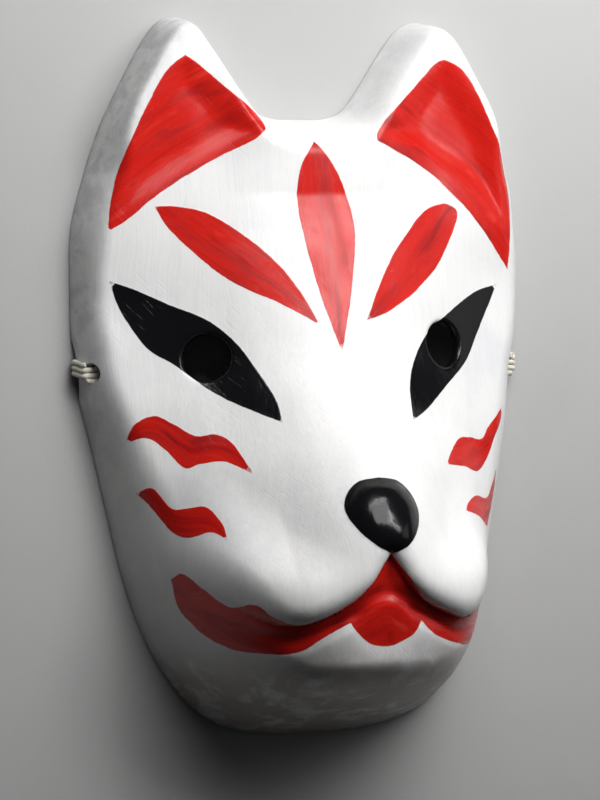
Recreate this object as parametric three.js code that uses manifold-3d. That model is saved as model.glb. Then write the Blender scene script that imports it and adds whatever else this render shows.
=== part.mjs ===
// Fox mask of papier-mache, lying face up on its rim, with its elastic cord.
// Millimetres. x runs to the right of someone facing the mask, y towards the ears,
// z out of the face. The flat rim lies at z = 0 and the origin is the middle of the underside.

import * as THREE from "three";
import { mergeVertices } from "three/addons/utils/BufferGeometryUtils.js";
import Module from "manifold-3d";

// Sizes of the whole mask. Places and heights further down are shares of these, in hundredths:
// x of half the width, y of half the height, z of the depth.
const WIDTH = 162;
const HEIGHT = 240;
const DEPTH = 75; // about the height of the nose over the rim
const across = (share) => (share / 100) * (WIDTH / 2);
const along = (share) => (share / 100) * (HEIGHT / 2);
const placed = (points) => points.map(([x, y]) => [across(x), along(y)]);

// Sizes of the shell
const SHELL = 2.6; // thickness of the paper
const SIDE_SLOPE = 2.8; // rise of the side per mm inwards
const EAR_SLOPE = 6.4; // the same on the outer side of an ear
const EAR_INNER_SLOPE = 3.3; // the same on the side towards the other ear
const FACE_ROUNDING = 18; // blend between side and face
const EAR_ROUNDING = 10;

// Openings
const PUPIL_AT = [across(53.1), along(6.6)];
const PUPIL_DIAMETER = 15.2;
const CORD_HOLE_Y = along(2);
const CORD_HOLE_Z = 8.4;
const CORD_HOLE_DIAMETER = 6.6;
const CORD_HOLE_INSET = 5; // of the middle of the cutters
const RIM_ARCH_HEIGHT = 2.5; // the rim is hollowed this much under each winding
const RIM_ARCH_RADIUS = 24;

// Sizes of the cord
const CORD_DIAMETER = 1.8;
const WINDING_TURNS = 3;
const CLEARANCE = 0.3; // between two pieces that lie against each other

// Half of the rim, from the notch between the ears down to the chin
const RIM_HALF = placed([
  [0, 72.1], [11.1, 72.3], [19.1, 74.2], [25.9, 79.6], [34.6, 88.3], [43.2, 96.2],
  [48.8, 99.1], [54.9, 100], [61.7, 98.3], [68.5, 92.9], [77.8, 82.1], [86.4, 71.2],
  [93.1, 59.6], [97.3, 49.2], [99.6, 38.3], [100, 26.7], [99, 10], [95.6, -6.7],
  [91.1, -22.5], [85.9, -39.2], [80, -55.8], [73.3, -70.4], [65.7, -81.7], [54.8, -91.1],
  [39.5, -97], [21, -99.5], [0, -100],
]);

// Height of the face over the rim without its small forms: a row for each y, a column for each x
const HEIGHT_X = [0, 17.3, 34.6, 51.9, 69.1, 86.4, 106.2];
const HEIGHT_ROWS = [
  { y: -100, z: [50.7, 49.3, 42.7, 32, 21.3, 13.3, 9.3] },
  { y: -88.3, z: [72, 69.3, 60, 45.3, 31.3, 21.3, 14.7] },
  { y: -78.3, z: [82, 79.3, 70.7, 56.3, 37.3, 22.7, 14.7] },
  { y: -66.7, z: [86, 85.3, 80, 64.7, 41.3, 23.3, 14.7] },
  { y: -55, z: [90.7, 87.3, 80.7, 65.3, 42, 25.3, 16] },
  { y: -41.7, z: [88.7, 82, 68.7, 53.3, 36.7, 24, 16] },
  { y: -25, z: [77.3, 70.7, 58, 44.7, 32, 22.7, 16.7] },
  { y: -8.3, z: [58.7, 54.7, 45.3, 35.3, 27.1, 21.6, 17.3] },
  { y: 8.3, z: [45.3, 43.3, 37.3, 29.3, 23.1, 19.3, 16.7] },
  { y: 25, z: [38, 36.7, 33.3, 27.3, 21.7, 17.6, 14.7] },
  { y: 41.7, z: [32, 31.3, 29.3, 25.3, 22.4, 20, 18] },
  { y: 58.3, z: [26.7, 26.7, 26, 24, 22.7, 21.7, 20.7] },
  { y: 75, z: [22.7, 24, 24.7, 24.7, 24.7, 24.7, 24] },
  { y: 101.7, z: [22.7, 22.7, 22.7, 24.7, 26.7, 27.3, 27.3] },
];

// Sunk field of the right ear
const EAR_FIELD = placed([
  [57.8, 87.8], [64.8, 84.2], [75.9, 72.9], [84.6, 59.2], [88.9, 46.7], [88.6, 38.8],
  [81.5, 42.9], [61.7, 52.9], [43.2, 60.2], [25.2, 65.5], [24.7, 67.9], [37.7, 77.1],
  [50.6, 85.4],
]);
const EAR_DEPTH = 4;
const EAR_EDGE = 6; // width of the slope round the field

// Upper and lower edge of the right half of the open mouth
const MOUTH_UPPER = placed([
  [0, -48.2], [3.2, -51.2], [7.2, -55.4], [13, -59.2], [19.8, -62.3], [27.8, -64.8],
  [35.8, -66], [44.4, -64.8], [53.1, -61.3], [61.7, -56.5], [69.8, -51.2],
]);
const MOUTH_LOWER = placed([
  [71.1, -54.2], [69.6, -59.2], [65.4, -65.3], [58, -70.5], [49.4, -73], [40.7, -73.7],
  [31.5, -72.7], [22.8, -69.7], [15.3, -67.2], [7.4, -66.8], [0, -66.7],
]);
const MOUTH_DEPTH = 3;
const MOUTH_EDGE = 4; // width of the slope into the mouth
const MOUTH_FADE = [across(47), across(72)]; // the forms of the mouth get weaker from here to here

// The two lobes of the muzzle over the mouth
const LOBE_SWELL = 5.2;
const LOBE_REACH = 7; // width of the round edge
const LOBE_FADE = [8, 34]; // the swell ends between these distances from the mouth

// Lower lip and tongue
const LIP_SWELL = 1.6;
const LIP_REACH = 3;
const LIP_FADE = [3, 16];
const TONGUE = { y: along(-66.7), halfWidth: across(11.7), halfLength: along(7.1), swell: 2.2 };

// Right half of the nose
const NOSE_HALF = placed([
  [0, -27.7], [8, -28.6], [13.8, -32.1], [15.6, -36.7], [12.3, -41.7], [6.2, -45.8], [0, -47.5],
]);
const NOSE_SWELL = 4.4;
const NOSE_REACH = 7.5;

// The slope of the side changes between these places
const EAR_Y = [along(55), along(76.7)];
const EAR_X = [across(44.4), across(64.2)];

// Smooth line through points, as Catmull-Rom pieces
function smoothLine(points, steps, closed) {
  const count = points.length;
  const at = (i) => points[closed ? (i + count) % count : Math.min(Math.max(i, 0), count - 1)];
  const line = [];
  for (let i = 0; i < (closed ? count : count - 1); i += 1) {
    const [a, b, c, d] = [at(i - 1), at(i), at(i + 1), at(i + 2)];
    for (let k = 0; k < steps; k += 1) {
      const t = k / steps;
      line.push([0, 1].map((axis) => 0.5 * (
        2 * b[axis] + (c[axis] - a[axis]) * t
        + (2 * a[axis] - 5 * b[axis] + 4 * c[axis] - d[axis]) * t * t
        + (3 * b[axis] - a[axis] - 3 * c[axis] + d[axis]) * t * t * t)));
    }
  }
  if (!closed) {
    line.push([...points[count - 1]]);
  }
  return line;
}

// Whole outline from its right half, whose first and last points lie on the middle line
function mirrored(half) {
  return [...half, ...half.slice(1, -1).reverse().map(([x, y]) => [-x, y])];
}

// Distance from a point to a line of points
function distanceTo(line, closed, x, y) {
  let best = Infinity;
  for (let i = closed ? 0 : 1; i < line.length; i += 1) {
    const [ax, ay] = line[(i + line.length - 1) % line.length];
    const [bx, by] = line[i];
    const length = (bx - ax) ** 2 + (by - ay) ** 2;
    const t = length ? ((x - ax) * (bx - ax) + (y - ay) * (by - ay)) / length : 0;
    const s = Math.min(1, Math.max(0, t));
    best = Math.min(best, (x - ax - s * (bx - ax)) ** 2 + (y - ay - s * (by - ay)) ** 2);
  }
  return Math.sqrt(best);
}

// Distance to a closed outline, positive inside it
function insideBy(outline, x, y) {
  let inside = false;
  for (let i = 0; i < outline.length; i += 1) {
    const [ax, ay] = outline[(i + outline.length - 1) % outline.length];
    const [bx, by] = outline[i];
    if ((ay > y) !== (by > y) && x < ax + ((y - ay) * (bx - ax)) / (by - ay)) {
      inside = !inside;
    }
  }
  const distance = distanceTo(outline, true, x, y);
  return inside ? distance : -distance;
}

// Smooth value between uneven knots
function between(knots, values, t) {
  const last = knots.length - 1;
  let i = 0;
  while (i < last - 1 && t > knots[i + 1]) {
    i += 1;
  }
  const slope = (k) => {
    const a = Math.max(k - 1, 0);
    const b = Math.min(k + 1, last);
    return (values[b] - values[a]) / (knots[b] - knots[a]);
  };
  const h = knots[i + 1] - knots[i];
  const u = Math.min(1, Math.max(0, (t - knots[i]) / h));
  return (2 * u ** 3 - 3 * u ** 2 + 1) * values[i] + (u ** 3 - 2 * u ** 2 + u) * h * slope(i)
    + (3 * u ** 2 - 2 * u ** 3) * values[i + 1] + (u ** 3 - u ** 2) * h * slope(i + 1);
}

function step(from, to, value) {
  const t = Math.min(1, Math.max(0, (value - from) / (to - from)));
  return t * t * (3 - 2 * t);
}

// Round rise from an edge: 0 at the edge, 1 at reach and beyond
function bulge(distance, reach) {
  const u = 1 - Math.min(1, Math.max(0, distance / reach));
  return Math.sqrt(1 - u * u);
}

function smoothMinimum(a, b, width) {
  const h = Math.min(1, Math.max(0, 0.5 + (0.5 * (b - a)) / width));
  return b * (1 - h) + a * h - width * h * (1 - h);
}

const RIM = smoothLine(mirrored(RIM_HALF), 2, true);
const EAR = smoothLine(EAR_FIELD, 3, true);
const UPPER = smoothLine(MOUTH_UPPER, 3, false);
const LOWER = smoothLine(MOUTH_LOWER, 3, false);
const MOUTH = mirrored([...UPPER, ...LOWER]);
const NOSE = mirrored(smoothLine(NOSE_HALF, 3, false));
const ROW_Y = HEIGHT_ROWS.map((row) => along(row.y));
const COLUMN_X = HEIGHT_X.map((x) => across(x));

// The rows of heights with their mirrored left half, so that the face is smooth over the middle
const FULL_X = [...COLUMN_X.slice(1).reverse().map((x) => -x), ...COLUMN_X];
const FULL_ROWS = HEIGHT_ROWS.map((row) => [...row.z.slice(1).reverse(), ...row.z]
  .map((share) => (share / 100) * DEPTH));

function faceHeight(x, y) {
  return between(ROW_Y, FULL_ROWS.map((row) => between(FULL_X, row, x)), y);
}

// Height of the upper edge of the mouth at a distance from the middle
function mouthLineAt(ax) {
  const i = UPPER.findIndex((point) => point[0] >= ax);
  if (i < 1) {
    return i < 0 ? UPPER[UPPER.length - 1][1] : UPPER[0][1];
  }
  const [[ax0, ay0], [ax1, ay1]] = [UPPER[i - 1], UPPER[i]];
  return ay0 + ((ax - ax0) / (ax1 - ax0)) * (ay1 - ay0);
}

// Small forms on the face: ear fields, lobes, mouth, lips, tongue and nose
function smallForms(x, y) {
  const ax = Math.abs(x);
  const tongue = 1 - Math.hypot(ax / TONGUE.halfWidth, (y - TONGUE.y) / TONGUE.halfLength);
  const besideTongue = 1 - step(-0.3, 0.3, tongue);
  const strength = 1 - step(...MOUTH_FADE, ax);
  const mouth = insideBy(MOUTH, ax, y);
  let z = -EAR_DEPTH * step(0, EAR_EDGE, insideBy(EAR, ax, y));
  if (y > mouthLineAt(ax)) {
    const away = distanceTo(UPPER, false, ax, y);
    z += LOBE_SWELL * bulge(away, LOBE_REACH) * (1 - step(...LOBE_FADE, away)) * strength;
  } else if (mouth < 0) {
    z += LIP_SWELL * bulge(-mouth, LIP_REACH) * (1 - step(...LIP_FADE, -mouth)) * besideTongue;
  }
  z -= MOUTH_DEPTH * step(0, MOUTH_EDGE, mouth) * (0.25 + 0.75 * strength) * besideTongue;
  z += TONGUE.swell * step(-0.25, 0.9, tongue);
  return z + NOSE_SWELL * bulge(insideBy(NOSE, x, y), NOSE_REACH);
}

function sideSlope(x, y) {
  const ear = step(...EAR_Y, y) * (EAR_INNER_SLOPE - SIDE_SLOPE
    + (EAR_SLOPE - EAR_INNER_SLOPE) * step(...EAR_X, Math.abs(x)));
  return SIDE_SLOPE + ear;
}

// Joins a face height to the side that rises from the rim
function withSide(height, x, y, inset) {
  const wide = FACE_ROUNDING + (EAR_ROUNDING - FACE_ROUNDING) * step(...EAR_Y, y);
  const side = sideSlope(x, y) * Math.max(0, inset);
  return smoothMinimum(height, side, Math.min(wide, 0.9 * height));
}

function outerHeight(x, y) {
  return withSide(faceHeight(x, y) + smallForms(x, y), x, y, insideBy(RIM, x, y));
}

// The hollow keeps the thickness of the shell, measured square to its surface
function hollowHeight(x, y) {
  const form = (px, py) => faceHeight(px, py) + smallForms(px, py);
  const reach = 2;
  const slopeX = (form(x + reach, y) - form(x - reach, y)) / (2 * reach);
  const slopeY = (form(x, y + reach) - form(x, y - reach)) / (2 * reach);
  const steep = Math.min(1.9, Math.hypot(1, slopeX, slopeY));
  return withSide(form(x, y) - SHELL * steep, x, y, insideBy(RIM, x, y) - SHELL);
}

// Right half of the rim, moved inwards
function insetHalf(inset) {
  const half = RIM.slice(0, RIM.length / 2 + 1);
  return half.map(([x, y], i) => {
    const before = RIM[(i + RIM.length - 1) % RIM.length];
    const after = RIM[(i + 1) % RIM.length];
    const length = Math.hypot(after[0] - before[0], after[1] - before[1]);
    const inX = (after[1] - before[1]) / length;
    const inY = -(after[0] - before[0]) / length;
    const onMiddle = i === 0 || i === half.length - 1;
    return [onMiddle ? 0 : x + inset * inX, y + inset * inY];
  });
}

// Delaunay triangles over points in the plane
function triangulate(points) {
  const count = points.length;
  const all = points.map(([x, y], i) => [x + 2e-4 * Math.sin(7.3 * i), y + 2e-4 * Math.cos(5.1 * i)]);
  all.push([-4000, -4000], [4000, -4000], [0, 4000]);
  const withCircle = (a, b, c) => {
    const [[ax, ay], [bx, by], [cx, cy]] = [all[a], all[b], all[c]];
    const d = 2 * (ax * (by - cy) + bx * (cy - ay) + cx * (ay - by));
    const [aa, bb, cc] = [ax * ax + ay * ay, bx * bx + by * by, cx * cx + cy * cy];
    const x = (aa * (by - cy) + bb * (cy - ay) + cc * (ay - by)) / d;
    const y = (aa * (cx - bx) + bb * (ax - cx) + cc * (bx - ax)) / d;
    return { corners: [a, b, c], x, y, rr: (ax - x) ** 2 + (ay - y) ** 2 };
  };
  let triangles = [withCircle(count, count + 1, count + 2)];
  for (let i = 0; i < count; i += 1) {
    const [x, y] = all[i];
    const edges = new Map();
    const kept = [];
    for (const triangle of triangles) {
      if ((x - triangle.x) ** 2 + (y - triangle.y) ** 2 >= triangle.rr) {
        kept.push(triangle);
        continue;
      }
      const [a, b, c] = triangle.corners;
      for (const [from, to] of [[a, b], [b, c], [c, a]]) {
        if (!edges.delete(`${to} ${from}`)) {
          edges.set(`${from} ${to}`, [from, to]);
        }
      }
    }
    for (const [from, to] of edges.values()) {
      kept.push(withCircle(from, to, i));
    }
    triangles = kept;
  }
  return triangles.map((t) => t.corners).filter((corners) => corners.every((i) => i < count));
}

// Points over the right half inside a ring: given lines first, then an even spread between them
function spread(ring, lines, spacingAt) {
  const outline = [...ring, ...ring.slice(1, -1).reverse().map(([x, y]) => [-x, y])];
  const points = [];
  const free = (x, y, gap) => points.every((p) => (p[0] - x) ** 2 + (p[1] - y) ** 2 >= gap * gap);
  const add = (x, y, gap) => {
    const inset = insideBy(outline, x, y);
    if (x >= 0 && inset > 0.8 * gap && free(x, y, gap)) {
      points.push([x, y]);
    }
  };
  for (let y = ring[0][1]; y > ring[ring.length - 1][1]; y -= 0.65 * spacingAt(y)) {
    add(0, y, 1.8);
  }
  for (const line of lines) {
    for (const [x, y] of line) {
      if (x > 1.2) {
        add(x, y, 1.8);
      }
    }
  }
  let odd = false;
  for (let y = HEIGHT / 2 - 2; y > 2 - HEIGHT / 2; y -= 0.87 * spacingAt(y)) {
    const gap = spacingAt(y);
    for (let x = odd ? 0.75 * gap : 1.25 * gap; x < WIDTH / 2; x += gap) {
      add(x, y, 0.68 * gap);
    }
    odd = !odd;
  }
  return points;
}

// Triangles of one sheet: bands between rings from the rim inwards, then the field inside them
function sheet(insets, lines, spacingAt, heightAt) {
  const rings = insets.map((inset) => insetHalf(inset));
  const inner = rings[rings.length - 1];
  const half = [];
  const put = (corners) => half.push(corners.map(([x, y, z]) => [x, y, z ?? heightAt(x, y)]));
  const ringPoint = (r, s) => [...rings[r][s], ...(r === 0 ? [0] : [])];
  for (let r = 0; r < rings.length - 1; r += 1) {
    for (let s = 0; s < inner.length - 1; s += 1) {
      put([ringPoint(r, s), ringPoint(r + 1, s), ringPoint(r + 1, s + 1)]);
      put([ringPoint(r, s), ringPoint(r + 1, s + 1), ringPoint(r, s + 1)]);
    }
  }
  const points = [...inner, ...spread(inner, lines, spacingAt)];
  const outline = mirrored(inner);
  for (const corners of triangulate(points)) {
    const [a, b, c] = corners.map((i) => points[i]);
    const flat = Math.abs((b[0] - a[0]) * (c[1] - a[1]) - (c[0] - a[0]) * (b[1] - a[1])) < 1e-3;
    const middle = [(a[0] + b[0] + c[0]) / 3, (a[1] + b[1] + c[1]) / 3];
    if (!flat && insideBy(outline, ...middle) > 0) {
      put([a, b, c]);
    }
  }
  const other = half.map((t) => t.map(([x, y, z]) => [-x, y, z]));
  return [...half, ...other];
}

// Turns a triangle so that it faces up (or down)
function facing(triangle, up) {
  const [a, b, c] = triangle;
  const turn = (b[0] - a[0]) * (c[1] - a[1]) - (c[0] - a[0]) * (b[1] - a[1]);
  return turn > 0 === up ? [a, b, c] : [a, c, b];
}

function geometryOf(triangles) {
  const geometry = new THREE.BufferGeometry();
  geometry.setAttribute("position", new THREE.Float32BufferAttribute(triangles.flat(2), 3));
  return mergeVertices(geometry, 1e-4);
}

// Lines that the triangles follow, so that the small forms keep their edges
const moved = (line, dx, dy) => line.map(([x, y]) => [x + dx, y + dy]);
const insetLine = (line, by) => line.map(([x, y], i) => {
  const before = line[(i + line.length - 1) % line.length];
  const after = line[(i + 1) % line.length];
  const length = Math.hypot(after[0] - before[0], after[1] - before[1]);
  return [x + (by * (after[1] - before[1])) / length, y - (by * (after[0] - before[0])) / length];
}).filter(([x, y]) => insideBy(line, x, y) > 0.9 * by);
const FORM_LINES = [
  NOSE, moved(UPPER, 0, 2.2), UPPER, moved(UPPER, 0.6, -2.4), LOWER, moved(LOWER, 0, 2.6),
  EAR, insetLine(EAR, EAR_EDGE), insetLine(EAR, 0.5 * EAR_EDGE), moved(LOWER, 0, -3),
];

const spacings = (muzzle, face, ears) => (y) => muzzle
  + (face - muzzle) * step(along(-31.7), along(-16.7), y)
  + (ears - face) * step(along(30), along(40), y);
const outside = sheet([0, 0.5, 1.6, 3.4, 6], FORM_LINES, spacings(3.4, 6.2, 4.8), outerHeight);
const inside = sheet([SHELL, 4, 6.4], [EAR, UPPER], spacings(6, 8, 7), hollowHeight);
const rimRings = [0, SHELL].map((inset) => insetHalf(inset));
const rimFace = [];
for (let s = 0; s < rimRings[0].length - 1; s += 1) {
  const [a, b] = [rimRings[0][s], rimRings[0][s + 1]];
  const [c, d] = [rimRings[1][s], rimRings[1][s + 1]];
  for (const corners of [[a, b, d], [a, d, c]]) {
    rimFace.push(corners.map(([x, y]) => [x, y, 0]), corners.map(([x, y]) => [-x, y, 0]));
  }
}
const shellTriangles = [
  ...outside.map((t) => facing(t, true)),
  ...inside.map((t) => facing(t, false)),
  ...rimFace.map((t) => facing(t, false)),
];

const wasm = await Module();
wasm.setup();

function solidOf(geometry) {
  const bare = geometry.clone();
  bare.deleteAttribute("normal");
  bare.deleteAttribute("uv");
  const merged = mergeVertices(bare, 1e-4);
  return new wasm.Manifold(new wasm.Mesh({
    numProp: 3,
    vertProperties: new Float32Array(merged.attributes.position.array),
    triVerts: new Uint32Array(merged.index.array),
  }));
}

function geometryFrom(solid) {
  const made = solid.getMesh();
  const geometry = new THREE.BufferGeometry();
  geometry.setAttribute("position", new THREE.BufferAttribute(made.vertProperties, 3));
  geometry.setIndex(new THREE.BufferAttribute(made.triVerts, 1));
  geometry.computeVertexNormals();
  return geometry;
}

// Round cutter along a direction through a point
function cutter(diameter, length, sides, at, direction) {
  const geometry = new THREE.CylinderGeometry(diameter / 2, diameter / 2, length, sides);
  const turn = new THREE.Quaternion().setFromUnitVectors(
    new THREE.Vector3(0, 1, 0), direction.clone().normalize());
  geometry.applyQuaternion(turn);
  geometry.translate(...at);
  return geometry;
}

// Direction straight out of the face at a point
function outwards(x, y) {
  const reach = 6;
  const slopeX = (outerHeight(x + reach, y) - outerHeight(x - reach, y)) / (2 * reach);
  const slopeY = (outerHeight(x, y + reach) - outerHeight(x, y - reach)) / (2 * reach);
  return new THREE.Vector3(-slopeX, -slopeY, 1).normalize();
}

let shell = solidOf(geometryOf(shellTriangles));
for (const side of [-1, 1]) {
  const [x, y] = [side * PUPIL_AT[0], PUPIL_AT[1]];
  const axis = outwards(x, y);
  shell = shell.subtract(solidOf(cutter(PUPIL_DIAMETER, 24, 28, [x, y, outerHeight(x, y)], axis)));
  const across = new THREE.Vector3(1, 0, 0);
  const cutterX = side * (WIDTH / 2 - CORD_HOLE_INSET);
  const hole = [cutterX, CORD_HOLE_Y, CORD_HOLE_Z];
  shell = shell.subtract(solidOf(cutter(CORD_HOLE_DIAMETER, 16, 16, hole, across)));
  const arch = [cutterX, CORD_HOLE_Y, RIM_ARCH_HEIGHT - RIM_ARCH_RADIUS];
  shell = shell.subtract(solidOf(cutter(2 * RIM_ARCH_RADIUS, 16, 96, arch, across)));
}

// The winding: three turns side by side round the strip between the hole and the rim.
// The turns lie side by side, so in the round hole they stop a little above its lowest point.
const turnsWidth = WINDING_TURNS * CORD_DIAMETER;
const stripTop = CORD_HOLE_Z - 2.1;
const faceX = (heightAt, z) => {
  let x = WIDTH / 2;
  while (heightAt(x, CORD_HOLE_Y) < z) {
    x -= 0.02;
  }
  return x;
};
const strip = [
  [faceX(outerHeight, RIM_ARCH_HEIGHT) + 0.2, RIM_ARCH_HEIGHT],
  [faceX(outerHeight, stripTop) + 0.2, stripTop],
  [faceX(hollowHeight, stripTop) - 0.3, stripTop],
  [faceX(hollowHeight, RIM_ARCH_HEIGHT) - 0.3, RIM_ARCH_HEIGHT],
];

// Outline round the strip at a distance, with rounded corners
function roundStrip(distance) {
  const middle = strip.reduce((sum, p) => [sum[0] + p[0] / 4, sum[1] + p[1] / 4], [0, 0]);
  const line = [];
  strip.forEach(([x, z], i) => {
    const [[px, pz], [nx, nz]] = [strip[(i + 3) % 4], strip[(i + 1) % 4]];
    const away = (ax, az, bx, bz) => {
      const length = Math.hypot(bx - ax, bz - az);
      const normal = [(bz - az) / length, -(bx - ax) / length];
      const out = normal[0] * (ax - middle[0]) + normal[1] * (az - middle[1]);
      return out > 0 ? normal : [-normal[0], -normal[1]];
    };
    const from = away(px, pz, x, z);
    const to = away(x, z, nx, nz);
    for (let k = 0; k <= 3; k += 1) {
      const mix = [from[0] + (to[0] - from[0]) * (k / 3), from[1] + (to[1] - from[1]) * (k / 3)];
      const length = Math.hypot(...mix);
      line.push([x + (distance * mix[0]) / length, z + (distance * mix[1]) / length]);
    }
  });
  return line;
}

function windingGeometry(side) {
  const bevel = 0.5;
  const path = (distance) => roundStrip(distance).map(([x, z]) => new THREE.Vector2(x, z));
  const shape = new THREE.Shape(path(CLEARANCE + CORD_DIAMETER - bevel));
  shape.holes.push(new THREE.Path(path(CLEARANCE + bevel)));
  const geometry = new THREE.ExtrudeGeometry(shape, {
    depth: turnsWidth - 2 * bevel,
    steps: 1,
    curveSegments: 1,
    bevelEnabled: true,
    bevelThickness: bevel,
    bevelSize: bevel,
    bevelSegments: 1,
  });
  geometry.rotateX(Math.PI / 2);
  geometry.translate(0, CORD_HOLE_Y + turnsWidth / 2 - bevel, 0);
  if (side < 0) {
    geometry.rotateZ(Math.PI);
    geometry.translate(0, 2 * CORD_HOLE_Y, 0);
  }
  return geometry;
}

// Free span of the cord: out of the left winding, down to the surface and across the hollow
const spanStart = strip[2][0] - CLEARANCE - CORD_DIAMETER - CLEARANCE;
const resting = CORD_DIAMETER / 2 + 0.12;
const SPAN_POINTS = [
  [-spanStart, CORD_HOLE_Y, 4.2],
  [-spanStart + 4, CORD_HOLE_Y + 1.2, 2.6],
  [-spanStart + 8, CORD_HOLE_Y + 3.8, 1.3],
  [-spanStart + 13, CORD_HOLE_Y + 8.1, resting],
  [across(-56.8), along(24.2), resting],
  [across(-24.7), along(25), resting],
  [across(3.7), along(-1.7), resting],
  [across(27.2), along(-31.7), resting],
  [across(53.1), along(-40), resting],
  [across(70.4), along(-25), resting],
  [spanStart - 9, CORD_HOLE_Y - 10.9, resting],
  [spanStart - 6, CORD_HOLE_Y - 5.6, 1.4],
  [spanStart - 3, CORD_HOLE_Y - 2, 2.8],
  [spanStart, CORD_HOLE_Y, 4.2],
];
const spanCurve = new THREE.CatmullRomCurve3(
  SPAN_POINTS.map((p) => new THREE.Vector3(...p)), false, "centripetal");

function spanGeometry() {
  const round = new THREE.Shape();
  const sides = 8;
  for (let k = 0; k < sides; k += 1) {
    const angle = (2 * Math.PI * (k + 0.5)) / sides;
    const [x, y] = [(CORD_DIAMETER / 2) * Math.cos(angle), (CORD_DIAMETER / 2) * Math.sin(angle)];
    if (k === 0) {
      round.moveTo(x, y);
    } else {
      round.lineTo(x, y);
    }
  }
  return new THREE.ExtrudeGeometry(round, { steps: 72, extrudePath: spanCurve, bevelEnabled: false });
}

const paper = new THREE.MeshStandardMaterial({ color: 0xe9e6e2, roughness: 0.38, metalness: 0 });
const elastic = new THREE.MeshStandardMaterial({ color: 0xe6e1d4, roughness: 0.6, metalness: 0 });

const mask = new THREE.Group();
function addPiece(name, geometry, material) {
  const piece = new THREE.Mesh(geometry, material);
  piece.name = name;
  mask.add(piece);
}
addPiece("mask_shell", geometryFrom(shell), paper);
addPiece("elastic_winding_left", windingGeometry(-1), elastic.clone());
addPiece("elastic_winding_right", windingGeometry(1), elastic.clone());
addPiece("elastic_cord", spanGeometry(), elastic.clone());

export default mask;
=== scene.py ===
# %% [markdown]
# # A fox mask of papier-mache
# The mask is a thin shell of layered paper, painted glossy white and marked in red and black.
# A white elastic is wound round the rim on both sides and crosses the hollow at the back.
# It lies face up on its flat rim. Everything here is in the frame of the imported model: metres,
# x to the right as one faces the mask, y to the ears, z out of the face.

# %% Load the frame
import math

import bpy
import bmesh
import numpy as np
from mathutils import Matrix, Vector
from mathutils.geometry import delaunay_2d_cdt
from mathutils.kdtree import KDTree


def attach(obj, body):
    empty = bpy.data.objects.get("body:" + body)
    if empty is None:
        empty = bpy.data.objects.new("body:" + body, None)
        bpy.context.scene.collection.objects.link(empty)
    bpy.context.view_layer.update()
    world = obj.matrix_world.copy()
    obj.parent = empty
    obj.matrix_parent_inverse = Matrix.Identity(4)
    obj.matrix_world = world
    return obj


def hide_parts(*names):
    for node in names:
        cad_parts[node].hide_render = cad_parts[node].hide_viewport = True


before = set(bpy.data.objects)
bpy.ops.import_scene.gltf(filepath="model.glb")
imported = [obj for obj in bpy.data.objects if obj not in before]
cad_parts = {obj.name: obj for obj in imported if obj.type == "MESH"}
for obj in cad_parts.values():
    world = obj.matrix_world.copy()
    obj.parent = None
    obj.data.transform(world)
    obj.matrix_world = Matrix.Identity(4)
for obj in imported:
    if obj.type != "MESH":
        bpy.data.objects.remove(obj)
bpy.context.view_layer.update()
MM = 0.001
print("pieces of the packed model:", sorted(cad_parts))

# %% [markdown]
# ## Camera
# The photograph looks at the mask a little from its right-hand side, so its far cheek goes out
# of sight. A long lens keeps the outline almost parallel. The place and the turn of the camera
# are written as the camera's own three axes, which is the surest way to repeat a known view:
# a "track to" constraint would also aim it, but it chooses the roll by itself.

# %% Camera
def put_in_scene(name, data):
    made = bpy.data.objects.new(name, data)
    bpy.context.scene.collection.objects.link(made)
    return made


CAMERA_AT = Vector((-0.41213, -0.00792, 0.99543))
CAMERA_RIGHT = Vector((0.92408, -0.02374, 0.38145))
CAMERA_UP = Vector((0.02194, 0.99972, 0.00906))
LENS_MM = 144
SENSOR_MM = 36  # over the long side of the picture

lens = bpy.data.cameras.new("camera")
lens.lens = LENS_MM
lens.sensor_width = SENSOR_MM
lens.clip_start, lens.clip_end = 0.05, 30
camera = put_in_scene("camera", lens)
back = CAMERA_RIGHT.cross(CAMERA_UP).normalized()
up = back.cross(CAMERA_RIGHT).normalized()
turn = Matrix((CAMERA_RIGHT.normalized(), up, back)).transposed()
camera.matrix_world = Matrix.Translation(CAMERA_AT) @ turn.to_4x4()
bpy.context.scene.camera = camera
print("camera distance to the mask:", round(CAMERA_AT.length, 3), "m")

# %% [markdown]
# ## The form of the mask
# A face like this is a height over its rim: every point of the plan has one height. So the form
# is written as a function of x and y in millimetres, and any mesh can then be laid over it, as
# fine as needed. The rows below are sections across the face from chin to ears; the face is a
# smooth surface through them, and the small forms (ear fields, lobes, lips, tongue and nose) are
# added to it. Sculpting by hand would also work, but then nothing could be measured or changed.

# %% Sizes of the shell, in millimetres
WIDTH = 162
HEIGHT = 240
DEPTH = 75
SHELL = 2.6
SIDE_SLOPE = 2.8  # rise of the side for each mm in from the rim
EAR_SLOPE = 6.4
EAR_INNER_SLOPE = 3.3
FACE_ROUNDING = 18  # how softly the side turns into the face
EAR_ROUNDING = 10


def across(share):
    """A place over the width, from hundredths of half of it."""
    return share / 100 * WIDTH / 2


def along(share):
    """A place over the height, from hundredths of half of it."""
    return share / 100 * HEIGHT / 2


def placed(points):
    return [(across(x), along(y)) for x, y in points]


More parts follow.
